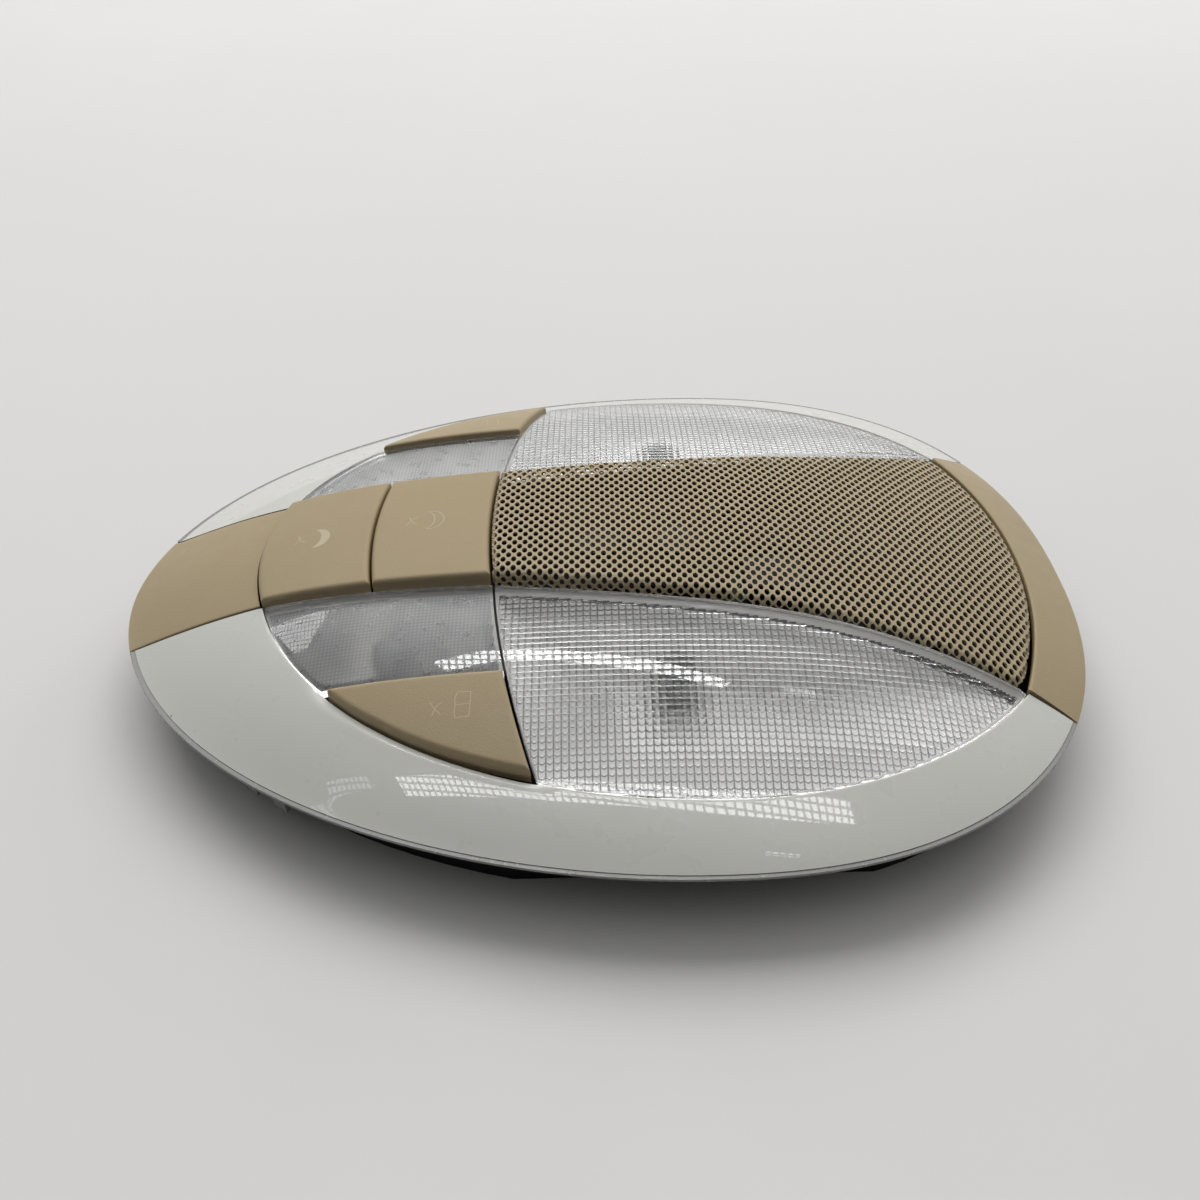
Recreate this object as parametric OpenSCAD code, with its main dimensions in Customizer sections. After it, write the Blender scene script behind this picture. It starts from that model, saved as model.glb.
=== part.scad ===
// Car dome light: an egg-shaped ceiling lamp with a milky outer ring, two prismatic dome
// lenses, two reading lenses, four push buttons and a perforated grille on a black housing.
// Millimetres. The lens side faces +Z and the back of the housing lies on Z = 0.
// The pointed front end is at -X, the left side of the car is +Y, and both sides mirror.

/* [Outline] */
// Length over the rim
body_l = 240; // [225:1:255]
// Width over the rim
body_w = 182; // [172:1:194]
// Distance from the front tip back to the widest place
front_l = 141.6; // [134:0.2:150]
// Roundness of the front half, where 2 is an ellipse
front_power = 1.94; // [1.85:0.01:2.1]
// Roundness of the rear half, where 2 is an ellipse
rear_power = 2.35; // [2.2:0.01:2.5]

/* [Dome] */
// Height of the dome above the rim
dome_h = 20.5; // [18:0.5:24]
// How late the dome falls off towards the front rim
dome_front_power = 3.7; // [3.3:0.1:4]
// How late the dome falls off towards the rear rim
dome_rear_power = 2.1; // [1.9:0.1:2.4]
// Crown exponent of the dome at the front
dome_front_crown = 1.13; // [1:0.01:1.2]
// Crown exponent of the dome at the rear
dome_rear_crown = 0.95; // [0.9:0.01:1]

/* [Ring] */
// Width of the milky ring at the sides
ring_side_w = 14.6; // [13:0.2:18]
// Width of the ring at the front tip, measured under the front cap
ring_front_w = 36.3; // [34:0.1:40]
// Width of the ring at the rear, measured under the rear cap
ring_rear_w = 5.4; // [4:0.1:7]
// How far the lens outline has its widest place behind that of the rim
lens_shift = 3.1; // [0:0.1:6]
// Roundness of the lens outline
lens_power = 2.07; // [2:0.01:2.2]
// Wall of the ring
ring_t = 2.4; // [2:0.1:2.6]
// Width of the thin flange around the foot of the ring
rim_ledge = 0.9; // [0.6:0.1:1.4]
// Thickness of that flange
rim_ledge_t = 0.7; // [0.5:0.1:0.8]
// How far the ring dips beside the reading buttons
ring_dip = 1.4; // [0:0.1:1.6]

/* [Lenses] */
// Wall of the clear lenses
lens_t = 2.2; // [1.8:0.1:2.4]
// How far the seam between the lenses leans back from the strip to the ring
side_seam_lean = 10.9; // [8:0.1:13]
// How much that seam bows forward
side_seam_bow = 7.2; // [4:0.1:9]
// Distance of that seam behind the front edge of the grille
side_seam_offset = 1.5; // [1:0.1:3]

/* [Centre strip] */
// Width of the strip behind the front cap
strip_front_w = 39.8; // [38:0.2:42]
// Width of the strip at the front edge of the grille
strip_w = 42.4; // [41:0.2:44]
// Width of the front cap at the tip
front_cap_w = 43; // [41:0.2:47]
// Length of the front cap
front_cap_l = 35.6; // [34:0.2:38]
// Length of the front push button
front_button_l = 29.2; // [28:0.2:31]
// Length of the rear push button
rear_button_l = 29.4; // [28:0.2:32]
// Length of the rear cap on the centre line
rear_cap_l = 12.4; // [11.6:0.2:14]
// Width of the rear cap at the rim
rear_cap_w = 103; // [99:0.2:107]
// Width of the grille at its rear corners
grille_rear_w = 92.6; // [89:0.2:96]
// How fast the grille widens at its front edge
grille_flare = 0.124; // [0.1:0.002:0.14]
// How far the edge between front cap and button bows forward
cap_joint_bow = 3.6; // [2:0.1:5]
// How far the edge between the two buttons bows forward
button_joint_bow = 1.9; // [1:0.1:3]
// How far the front edge of the grille bows forward
grille_joint_bow = 1.2; // [0.5:0.1:2]
// How far the rear edge of the grille bows backward
rear_joint_bow = 10.7; // [9:0.1:12]
// Gap between neighbouring trim pieces
trim_gap = 0.6; // [0.5:0.1:0.9]
// Height of the strip above the dome behind the front cap
strip_front_proud = 2; // [1.4:0.1:2.4]
// Height of the strip above the dome at the front edge of the grille
grille_front_proud = 3.3; // [2.6:0.1:3.6]
// Height of the rear end of the grille above the dome
grille_rear_proud = 0.6; // [0.2:0.1:1]
// Height of the rear cap above the dome
rear_cap_proud = 0.9; // [0.2:0.1:1.4]
// Wall of the caps and the grille
trim_t = 1.8; // [1.5:0.1:2.2]
// Radius along the upper edges of buttons and grille
edge_r = 0.8; // [0.5:0.1:1]

/* [Reading buttons] */
// Distance of the straight edge of a reading button from the widest place of the lens outline
reading_depth = 28.8; // [27:0.2:31]
// Height of a reading button above the dome
reading_proud = 1.8; // [1:0.1:2.4]
// Gap between a reading button and the ring
reading_gap = 1.6; // [1.2:0.1:2]

/* [Buttons] */
// How far a button travels when it is pressed
button_travel = 1.2; // [0.8:0.1:1.5]
// Wall of the button skirt
button_wall = 1.6; // [1.2:0.1:2]
// How far the skirt reaches below the dome
button_skirt = 2.3; // [1.8:0.1:2.6]
// Radius of the guide posts under a button
post_r = 2.2; // [1.8:0.1:2.4]
// Clearance of a guide post in its sleeve
post_gap = 0.1; // [0.08:0.01:0.15]
// Distance of the guide posts of a centre button from the centre line
post_y = 11; // [9:0.5:13]
// Length of the guide sleeves above the frame plate
sleeve_h = 5; // [4:0.5:6]
// Radius of the plunger that works the switch pad
plunger_r = 2.6; // [2:0.1:3]

/* [Housing] */
// Depth of the housing below the rim
rim_z = 17; // [16.5:0.5:19]
// How far the housing wall stands in from the rim
housing_inset = 8.2; // [7.6:0.1:9]
// How far the flat sides of the housing stand in from the widest place of the rim
housing_side_inset = 13; // [10:0.5:15]
// How far the housing flange stands in from the rim at the widest place
flange_inset = 5; // [4.6:0.1:5.5]
// Wall and floor of the housing
housing_t = 2; // [1.8:0.1:2.4]
// Radius of the two roof screw holes in the floor
roof_hole_r = 2.6; // [2:0.1:3]
// Distance of the front roof screw hole from the front tip
roof_hole_front = 26; // [25:1:29]
// Distance of the rear roof screw hole from the rear end
roof_hole_rear = 22; // [20:1:24]

/* [Electrics] */
// Underside of the circuit board above the back face
board_z = 10; // [9.5:0.5:10.5]
// Thickness of the circuit board
board_t = 1.6; // [1.2:0.1:1.8]
// Underside of the frame plate above the back face
plate_z = 16; // [15.5:0.5:16.5]
// Radius of the bulb glass
bulb_r = 4.8; // [4:0.1:5]
// Height of the bulb glass above its holder
bulb_h = 14; // [12:0.5:14.5]
// Length of the socket for the wiring plug
socket_l = 22; // [18:1:26]
// Width of the socket for the wiring plug
socket_w = 9; // [8:0.5:11]

/* [Grille holes] */
// Radius of the holes in the grille
grille_hole_r = 1.9; // [1:0.1:2.2]
// Distance between the holes along a row
grille_pitch = 8.4; // [8.2:0.1:10]

/* [Hidden] */
$fn = 48;

half_w = body_w / 2;
front_tip_x = -body_l / 2;
rear_tip_x = body_l / 2;
wide_x = front_tip_x + front_l;
rear_l = body_l - front_l;

// Joint lines of the centre strip, where they cross the centre line
cap_joint_x = front_tip_x + front_cap_l;
button_joint_x = cap_joint_x + front_button_l;
grille_x = button_joint_x + rear_button_l;
rear_joint_x = rear_tip_x - rear_cap_l;
grille_corner_x = rear_joint_x - rear_joint_bow;

// Outline shared by the lenses and the inner edge of the ring
lens_mid_x = wide_x + lens_shift;
lens_front_l = lens_mid_x - front_tip_x - ring_front_w;
lens_rear_l = rear_tip_x - ring_rear_w - lens_mid_x;
lens_half_w = half_w - ring_side_w;
reading_edge_y = lens_half_w - reading_depth;

seam_x0 = grille_x + side_seam_offset;
seam_x1 = seam_x0 + side_seam_lean;

// Clearance of fixed pieces, lower edge of the skin below the rim, housing flange
fit_gap = 0.3;
skin_foot = 0.4;
flange_z = rim_z - fit_gap - housing_t;
hook_t = 1.2;
hook_w = 4;
hook_drop = 12;

board_top = board_z + board_t;
plate_t = 2;
plate_top = plate_z + plate_t;
web_t = 1.6;
head_h = 1.5;
pad_h = button_travel + 2.8;
collar_h = 2.9;
collar_r = 6;
bulb_z = board_top + collar_h;
bowl_t = 1.2;
bowl_z = board_top + 1;
bowl_margin = 2.8;
screw_r = 1.5;
boss_r = 3.6;
roof_holes = [front_tip_x + roof_hole_front, rear_tip_x - roof_hole_rear];
pin_count = 8;
pin_w = 0.5;
pin_y = socket_w / 2 - 1.4;
socket_wall = 1.2;

// Places of the bulbs, guide posts, plungers and screws on the left side
front_button_x = (cap_joint_x + button_joint_x) / 2 + 1;
rear_button_x = (button_joint_x + grille_x) / 2;
dome_bulb = [wide_x - 3.8, lens_half_w - 35.4];
reading_bulb = [button_joint_x + 6.8, (strip_w / 2 + reading_edge_y) / 2 - 1.4];
reading_posts = [[seam_x0 - 19, reading_edge_y + 5.4], [seam_x0 + 1.8, reading_edge_y + 13.9]];
reading_plunger = [seam_x0 - 7.5, reading_edge_y + 7.9];
frame_bosses = [[cap_joint_x + 9, 13], [grille_corner_x - 17, grille_rear_w / 2 - 20.3]];
board_edge = reading_bulb[1] - 15;
board_posts = [[button_joint_x - 8, board_edge - 3.5], [grille_x + 22, board_edge - 3.5],
               [seam_x0 - 14, reading_edge_y + 12.9]];

// Frame plate: the arm below the lens seam, the wing below a reading button, the window
arm_from = seam_x0 - 1.2;
arm_to = seam_x1 - 3;
wing_from = seam_x0 - 25.5;
wing_to = seam_x1 - 1;
wing_y0 = reading_edge_y - 2.5;
wing_y1 = reading_edge_y + 19;
window_from = grille_x + 0.147 * (grille_corner_x - grille_x);
window_to = grille_x + 0.666 * (grille_corner_x - grille_x);
window_half = 14;

// Microphone carrier over the window: outside, inner hollow, height and feet
mic_l = 0.66 * (window_to - window_from);
mic_w = 2 * (window_half + 3);
mic_wall = 2;
mic_h = 9;
mic_foot = 4;
capsule_r = 4.8;

// Places on the circuit board along the strip
board_from = button_joint_x - 13;
board_to = window_to + 6;
chip_x = grille_x + 3;
capacitor_x = window_to - 31.7;
socket_x = window_to - 21.7;
relay_x = window_to - 17.7;

// Share of the reading lens length at which its outer edge leaves the ring
lens_break = 0.34;
// Gap between the ring and the tip of a reading button, and the width of that blunt tip
tip_gap = 0.5;
tip_w = 1;

function mix(a, b, t) = a + (b - a) * t;
function clamp01(t) = min(1, max(0, t));
function smooth(t) = let(c = clamp01(t)) c * c * (3 - 2 * c);

// Size of the egg that passes through a plan point, where the rim is 1
function egg_scale(x, y) =
    let(
        ahead = x < wide_x,
        u = ahead ? (wide_x - x) / front_l : (x - wide_x) / rear_l,
        s = abs(y) / half_w,
        n = ahead ? front_power : rear_power
    ) pow(pow(u, n) + pow(s, n), 1 / n);

// Height of the dome over the back face
function dome_z(x, y) =
    let(
        r = min(1, egg_scale(x, y)),
        blend = smooth((x - front_tip_x * 0.65) / (rear_tip_x * 0.6 - front_tip_x * 0.65)),
        p = mix(dome_front_power, dome_rear_power, blend),
        crown = mix(dome_front_crown, dome_rear_crown, blend)
    ) rim_z + dome_h * pow(1 - pow(r, p), crown);

// Underside of a skin of a given wall, which ends in a flat foot at the rim
function skin_under(p, wall) = max(dome_z(p[0], p[1]) - wall, rim_z - skin_foot);

// Point of an egg at an angle, where 0 is its rear end and 180 its front end
function oval(angle, mid_x, ahead_l, behind_l, side_w, ahead_n, behind_n) =
    let(
        c = cos(angle),
        s = sin(angle),
        n = c < 0 ? ahead_n : behind_n
    ) [
        mid_x + (c < 0 ? -ahead_l : behind_l) * pow(abs(c), 2 / n),
        side_w * sign(s) * pow(abs(s), 2 / n)
    ];
function rim_point(angle, inset = 0) =
    let(k = 1 - inset / half_w)
    oval(angle, wide_x, front_l * k, rear_l * k, half_w * k, front_power, rear_power);
function lens_point(angle, inset = 0) =
    oval(angle, lens_mid_x, lens_front_l - inset, lens_rear_l - inset,
         lens_half_w - inset, lens_power, lens_power);

// Angles at which the rim and the lens outline reach a given Y, ahead of or behind the middle
function rim_angle_front(y) = 180 - asin(pow(y / half_w, front_power / 2));
function rim_angle_rear(y) = asin(pow(y / half_w, rear_power / 2));
function lens_angle_front(y) = 180 - asin(pow(y / lens_half_w, lens_power / 2));
function lens_angle_rear(y) = asin(pow(y / lens_half_w, lens_power / 2));
function lens_angle_at(x) = 90 + asin(pow((lens_mid_x - x) / lens_front_l, lens_power / 2));

// X of the rim at a given Y
function rim_front_x(y) =
    wide_x - front_l * pow(1 - pow(abs(y) / half_w, front_power), 1 / front_power);
function rim_rear_x(y) =
    wide_x + rear_l * pow(1 - pow(abs(y) / half_w, rear_power), 1 / rear_power);

// Half width of the centre strip, which widens along the grille
grille_run = grille_corner_x - grille_x;
grille_curve = (grille_rear_w / 2 - strip_w / 2 - grille_flare * grille_run) / pow(grille_run, 4);
function strip_share(x) = (x - cap_joint_x) / (grille_x - cap_joint_x);
function strip_half(x) =
    let(d = x - grille_x)
    d < 0
        ? mix(strip_front_w, strip_w, strip_share(x)) / 2
        : strip_w / 2 + grille_flare * d + grille_curve * pow(d, 4);

// Height of the buttons and the grille above the dome
function strip_proud(x) =
    x < grille_x
        ? mix(strip_front_proud, grille_front_proud, clamp01(strip_share(x)))
        : mix(grille_front_proud, grille_rear_proud, smooth((x - grille_x) / (0.8 * grille_run)));

// X of the seam between reading lens and dome lens at a given Y
seam_end_y = lens_point(lens_angle_at(seam_x1))[1];
function seam_x(y) =
    let(w = (y - strip_w / 2) / (seam_end_y - strip_w / 2))
    seam_x0 + side_seam_lean * w + side_seam_bow * w * (w - 1);

// X of a bowed joint line of the centre strip, where s runs from -1 to 1 across it
function joint_x(x, bow, s) = x + bow * s * s;

// Grid rows from 0 to 1 over a length: the given distances in from both ends, then n cells
function rows(length, cuts, n) =
    let(e = [for (c = cuts) c / length], a = e[len(e) - 1])
    concat([0], e, [for (i = [1:n - 1]) mix(a, 1 - a, i / n)],
           [for (i = [len(e) - 1:-1:0]) 1 - e[i]], [1]);
function even_rows(n) = [for (i = [0:n]) i / n];

// Drop of a rounded edge at a distance in from it
function edge_drop(d, r) = d >= r ? 0 : r - sqrt(r * r - pow(r - d, 2));

// Closed shell over a plan patch: plan(u, v) gives X and Y, top and under give Z
module skin(plan, us, vs, top, under) {
    nu = len(us);
    nv = len(vs);
    m = nu * nv;
    upper = [for (u = us, v = vs) let(p = plan(u, v)) [p[0], p[1], top(u, v, p)]];
    lower = [for (u = us, v = vs) let(p = plan(u, v)) [p[0], p[1], under(u, v, p)]];
    cells = [for (i = [0:nu - 2], j = [0:nv - 2])
        let(a = i * nv + j, b = a + nv, c = b + 1, d = a + 1)
        each [[a, d, c], [a, c, b], [a + m, b + m, c + m], [a + m, c + m, d + m]]];
    sides = [for (i = [0:nu - 2])
        let(a = i * nv, b = a + nv, d = a + nv - 1, c = d + nv)
        each [[a, b, b + m], [a, b + m, a + m], [c, d, d + m], [c, d + m, c + m]]];
    ends = [for (j = [0:nv - 2])
        let(a = j, d = j + 1, b = (nu - 1) * nv + j, c = b + 1)
        each [[d, a, a + m], [d, a + m, d + m], [b, c, c + m], [b, c + m, b + m]]];
    polyhedron(points = concat(upper, lower), faces = concat(cells, sides, ends));
}

// Left half of a mirrored pair, or its right half
module on_side(left) {
    if (left) children();
    else mirror([0, 1, 0]) children();
}

module on_both_sides() {
    children();
    mirror([0, 1, 0]) children();
}

// A flat egg outline, smaller than the rim by the inset at the widest place
module egg(inset, count = 96) {
    polygon([for (i = [0:count - 1]) rim_point(i * 360 / count, inset)]);
}

// Snap hook under the rim at an angle, which catches under the housing flange
module rim_hook(angle) {
    p = rim_point(angle, flange_inset);
    q = rim_point(angle + 1, flange_inset);
    way = atan2(q[1] - p[1], q[0] - p[0]);
    reach = hook_t + fit_gap;
    root_z = dome_z(p[0] + reach * sin(way), p[1] - reach * cos(way)) - 0.5;
    hook_z = rim_z - hook_drop;
    barb_z = flange_z - fit_gap;
    translate([p[0], p[1], 0]) rotate([0, 0, way]) {
        translate([-hook_w / 2, -reach, hook_z]) cube([hook_w, hook_t, root_z - hook_z]);
        translate([-hook_w / 2, -reach, barb_z - hook_t]) cube([hook_w, reach + 0.8, hook_t]);
    }
}

// Plan of the tray, an egg with flat sides, smaller by a wall
module tray_plan(wall) {
    side = half_w - housing_side_inset - wall;
    intersection() {
        egg(housing_inset + wall);
        translate([front_tip_x, -side]) square([body_l, 2 * side]);
    }
}

// Housing: a deep tray with a flange, screw bosses, board posts and bulb seats
module rear_housing() {
    wall_top = rim_z + 1.2;
    color([0.07, 0.07, 0.075]) difference() {
        union() {
            difference() {
                union() {
                    linear_extrude(wall_top) tray_plan(0);
                    translate([0, 0, flange_z]) linear_extrude(housing_t) egg(flange_inset);
                }
                translate([0, 0, housing_t]) linear_extrude(wall_top) tray_plan(housing_t);
            }
            on_both_sides() {
                for (p = frame_bosses)
                    translate([p[0], p[1], 0]) cylinder(r = boss_r, h = plate_z);
                for (p = board_posts)
                    translate([p[0], p[1], 0]) cylinder(r = 2.5, h = board_z);
                for (side = [-1, 1])
                    translate([dome_bulb[0] + side * 13, dome_bulb[1], 0])
                        cylinder(r = 2, h = bowl_z - 0.2);
            }
            for (x = roof_holes) translate([x, 0, 0])
                cylinder(r = roof_hole_r + 3, h = housing_t + 3);
            clip_places() translate([-2.5, -6.5, 3]) cube([3.5, 13, 11]);
        }
        on_both_sides() for (p = frame_bosses)
            translate([p[0], p[1], housing_t]) cylinder(r = screw_r + 0.05, h = plate_z);
        for (x = roof_holes) translate([x, 0, -1]) cylinder(r = roof_hole_r, h = housing_t + 5);
        socket_block(socket_wall + 0.2, -1, housing_t + 2);
    }
}

// Places of the four roof clips, with +X pointing out of the housing wall
module clip_places() {
    on_both_sides() for (angle = [rim_angle_front(15), rim_angle_rear(17)]) {
        p = rim_point(angle, housing_inset);
        q = rim_point(angle + 1, housing_inset);
        translate([p[0], p[1], 0]) rotate([0, 0, atan2(q[1] - p[1], q[0] - p[0]) - 90]) children();
    }
}

module roof_clips() {
    color([0.55, 0.56, 0.58]) clip_places()
        translate([1, 5, 3.4]) rotate([90, 0, 0]) linear_extrude(10)
            polygon([[0, 0], [0.6, 0], [3, 4.4], [1.6, 9.2], [0.9, 9.2], [2.1, 4.4],
                     [0.6, 1.6], [0.6, 10], [0, 10]]);
}

// Plan of the frame plate under the centre strip, wider than the strip by the spread
module strip_plan(from_x, to_x, spread, steps = 16) {
    near = [for (i = [0:steps]) let(x = mix(from_x, to_x, i / steps)) [x, -strip_half(x) - spread]];
    polygon(concat(near, [for (i = [steps:-1:0]) [near[i][0], -near[i][1]]]));
}

// Left arm under the lens seam and the wing beyond it, of the frame plate and of the board
function wing_outline(from_y, inset, corner) = [
    [arm_to - inset, from_y], [arm_to - inset, wing_y0 + inset],
    [wing_to - inset, wing_y0 + inset], [wing_to - inset, wing_y1 - inset],
    [wing_from + corner, wing_y1 - inset], [wing_from + inset, wing_y1 - corner],
    [wing_from + inset, wing_y0 + inset], [arm_from + inset, wing_y0 + inset],
    [arm_from + inset, from_y]
];

// Frame: plate, webs under the lens edges, seam walls and the guide sleeves
module centre_frame() {
    web_from = cap_joint_x - 2;
    web_to = grille_corner_x - 5;
    wall_y = strip_half(web_from) - 1;
    web_top = function(u, v, p) dome_z(p[0], p[1]) - max(lens_t, ring_t) - fit_gap;
    web_foot = function(u, v, p) plate_z + 0.5;
    color([0.72, 0.7, 0.66]) difference() {
        union() {
            translate([0, 0, plate_z]) linear_extrude(plate_t) {
                strip_plan(web_from, web_to, trim_gap + web_t + 0.2);
                on_both_sides() polygon(wing_outline(-1, 0, 7));
            }
            on_both_sides() {
                skin(function(u, v) let(x = mix(web_from, web_to, u))
                         [x, strip_half(x) + trim_gap + 0.2 + web_t * v],
                     even_rows(30), [0, 1], web_top, web_foot);
                skin(function(u, v)
                         let(y = mix(strip_half(seam_x0) + 1.5, reading_edge_y - 2, v))
                         [seam_x(y) - web_t / 2 + web_t * u, y],
                     [0, 1], even_rows(6), web_top, web_foot);
            }
            sleeve_places() cylinder(r = post_r + web_t, h = plate_t + sleeve_h);
            translate([web_from, -wall_y, plate_z])
                cube([web_t, 2 * wall_y, dome_z(web_from, wall_y) - trim_t - fit_gap - plate_z]);
        }
        sleeve_places() translate([0, 0, -1])
            cylinder(r = post_r + post_gap, h = plate_t + sleeve_h + 2);
        plunger_places() translate([0, 0, -1])
            cylinder(r = plunger_r + 2 * fit_gap, h = plate_t + sleeve_h);
        translate([window_from, -window_half, plate_z - 1])
            cube([window_to - window_from, 2 * window_half, plate_t + 2]);
        on_both_sides() for (p = frame_bosses)
            translate([p[0], p[1], plate_z - 1]) cylinder(r = screw_r + fit_gap, h = plate_t + 2);
    }
}

module sleeve_places() {
    on_both_sides() {
        for (x = [front_button_x, rear_button_x]) translate([x, post_y, plate_z]) children();
        for (p = reading_posts) translate([p[0], p[1], plate_z]) children();
    }
}

module plunger_places() {
    for (x = [front_button_x, rear_button_x]) translate([x, 0, plate_z]) children();
    on_both_sides() translate([reading_plunger[0], reading_plunger[1], plate_z]) children();
}

module frame_screws() {
    color([0.5, 0.5, 0.52]) on_both_sides() for (p = frame_bosses)
        translate([p[0], p[1], 0]) difference() {
            union() {
                translate([0, 0, plate_z - 8]) cylinder(r = screw_r, h = plate_t + 9);
                translate([0, 0, plate_top]) cylinder(r = screw_r * 2, h = 1.8);
            }
            translate([0, 0, plate_top + 0.8]) cylinder(r = 1.2, h = 2, $fn = 6);
        }
}

// Circuit board: a strip with an arm and a wing to each side
module circuit_board() {
    half = concat([[board_to, board_edge]], wing_outline(board_edge, 2, 8),
                  [[board_from, board_edge]]);
    color([0.1, 0.3, 0.16]) translate([0, 0, board_z]) linear_extrude(board_t)
        polygon(concat(half, [for (i = [len(half) - 1:-1:0]) [half[i][0], -half[i][1]]]));
}

// Block around the socket opening, wider than it by a wall
module socket_block(wall, from_z, block_h) {
    translate([socket_x - wall, -socket_w / 2 - wall, from_z])
        cube([socket_l + 2 * wall, socket_w + 2 * wall, block_h]);
}

// A square bar at the place of each pin
module pin_bars(w, from_z, bar_h) {
    for (i = [0:pin_count - 1])
        translate([socket_x + socket_l * (i + 0.5) / pin_count - w / 2, pin_y - w / 2, from_z])
            cube([w, w, bar_h]);
}

module connector_header() {
    color([0.12, 0.12, 0.13]) difference() {
        socket_block(socket_wall, 0, board_z);
        socket_block(0, -1, board_z - 0.5);
        pin_bars(pin_w + 0.1, 0, board_z + 1);
    }
}

module connector_pins() {
    color([0.75, 0.62, 0.3]) pin_bars(pin_w, 3, board_z - 3);
}

module control_chip() {
    color([0.09, 0.09, 0.1]) translate([chip_x, -6, board_top]) cube([14, 11, 1.8]);
}

module relay() {
    color([0.16, 0.2, 0.3]) translate([relay_x, -7, board_top]) cube([15, 12, 10]);
}

module capacitors() {
    color([0.2, 0.2, 0.24]) for (y = [-5, 5])
        translate([capacitor_x, y, board_top]) cylinder(r = 4, h = 8);
}

// Front cap: closes the strip over the front tip
module front_cap() {
    plan = function(u, v)
        let(
            s = 2 * v - 1,
            y = s * (mix(front_cap_w, strip_front_w, u) - trim_gap) / 2,
            tip = rim_front_x(s * (front_cap_w - trim_gap) / 2),
            back = joint_x(cap_joint_x, cap_joint_bow, s) - trim_gap / 2
        ) [mix(tip, back, u), y];
    color([0.64, 0.57, 0.44]) union() {
        skin(plan, even_rows(14), even_rows(14),
             function(u, v, p) dome_z(p[0], p[1]) + 0.1 * smooth(u * 4),
             function(u, v, p) skin_under(p, trim_t));
        for (angle = [-4, 4]) rim_hook(180 + angle);
    }
}

// Rear cap: crescent behind the grille
module rear_cap() {
    plan = function(u, v)
        let(
            s = 2 * v - 1,
            y = s * (mix(grille_rear_w, rear_cap_w, u) - trim_gap) / 2,
            front = joint_x(rear_joint_x, -rear_joint_bow, s) + trim_gap / 2,
            tip = rim_rear_x(s * (rear_cap_w - trim_gap) / 2)
        ) [mix(front, tip, u), y];
    color([0.64, 0.57, 0.44]) union() {
        skin(plan, [0, 0.04, 0.1, 0.3, 0.5, 0.7, 0.85, 1], even_rows(24),
             function(u, v, p)
                 dome_z(p[0], p[1]) + rear_cap_proud * (1 - u) - edge_drop(u * rear_cap_l, edge_r),
             function(u, v, p) skin_under(p, trim_t));
        for (angle = [-17, 17]) rim_hook(angle);
    }
}

// Grille: thin perforated shell with folded edges
module grille() {
    length = rear_joint_x - grille_x;
    width = (strip_w + grille_rear_w) / 2;
    plan = function(u, v)
        let(
            s = 2 * v - 1,
            front = joint_x(grille_x, grille_joint_bow, s) + trim_gap / 2,
            back = joint_x(rear_joint_x, -rear_joint_bow, s) - trim_gap / 2,
            x = mix(front, back, u)
        ) [x, s * (strip_half(min(x, grille_corner_x)) - trim_gap / 2)];
    proud = function(p) strip_proud(p[0]);
    color([0.6, 0.54, 0.42]) difference() {
        hollow_shell(plan, length, width, proud, trim_t, 1, 14, 8);
        grille_holes();
    }
}

// Staggered holes of the grille, kept inside its outline
module grille_holes() {
    row = grille_pitch * sqrt(3) / 2;
    edge = trim_t + grille_hole_r + 1;
    for (j = [-7:7], i = [0:18]) {
        x = grille_x + edge + 1.5 + (i + (j % 2 == 0 ? 0 : 0.5)) * grille_pitch;
        y = j * row;
        s = abs(y) / strip_half(x);
        fits = x < joint_x(rear_joint_x, -rear_joint_bow, s) - edge
            && abs(y) < strip_half(x) - edge;
        if (fits) translate([x, y, plate_top]) cylinder(r = grille_hole_r, h = 40, $fn = 24);
    }
}

// Shell with rounded edges over a patch, hollow below inside a skirt of the given wall.
// The nose is the share of its length that stays solid at the front.
module hollow_shell(plan, length, width, proud, wall, skirt, nu, nv, nose = 0) {
    cuts = [0.3, edge_r, wall, wall + 0.3];
    inset = function(u, v, from) min(min(u - from, 1 - u) * length, min(v, 1 - v) * width);
    skin(plan, rows(length, cuts, nu), rows(width, cuts, nv),
         function(u, v, p) dome_z(p[0], p[1]) + proud(p) - edge_drop(inset(u, v, 0), edge_r),
         function(u, v, p) dome_z(p[0], p[1])
             + (inset(u, v, nose) > wall + 0.15 ? proud(p) - trim_t : -skirt));
}

// Guide post with a split snap head that stops under the frame plate
module guide_post(p, proud) {
    head_z = plate_z - 0.1 - head_h;
    translate([p[0], p[1], head_z]) difference() {
        union() {
            cylinder(r = post_r, h = root_z(p, proud) - head_z);
            cylinder(r = post_r + 0.5, h = head_h);
        }
        translate([-0.4, -post_r - 1, -1]) cube([0.8, 2 * post_r + 2, head_h + 3.5]);
    }
}

// Height inside the top wall of a button at which its posts end
function root_z(p, proud) = dome_z(p[0], p[1]) + proud - trim_t / 2;

module plunger(p, proud) {
    foot_z = board_top + pad_h;
    translate([p[0], p[1], foot_z]) cylinder(r = plunger_r, h = root_z(p, proud) - foot_z);
}

// Centre button between two bowed joint lines
module centre_button(from_x, from_bow, to_x, to_bow, mid_x) {
    plan = function(u, v)
        let(
            s = 2 * v - 1,
            front = joint_x(from_x, from_bow, s) + trim_gap / 2,
            back = joint_x(to_x, to_bow, s) - trim_gap / 2,
            x = mix(front, back, u)
        ) [x, s * (strip_half(x) - trim_gap / 2)];
    proud = strip_proud(mid_x);
    color([0.64, 0.57, 0.44]) union() {
        hollow_shell(plan, to_x - from_x, strip_w, function(p) strip_proud(p[0]), button_wall,
                     button_skirt, 5, 6);
        for (y = [-post_y, post_y]) guide_post([mid_x, y], proud);
        plunger([mid_x, 0], proud);
    }
}

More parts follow.
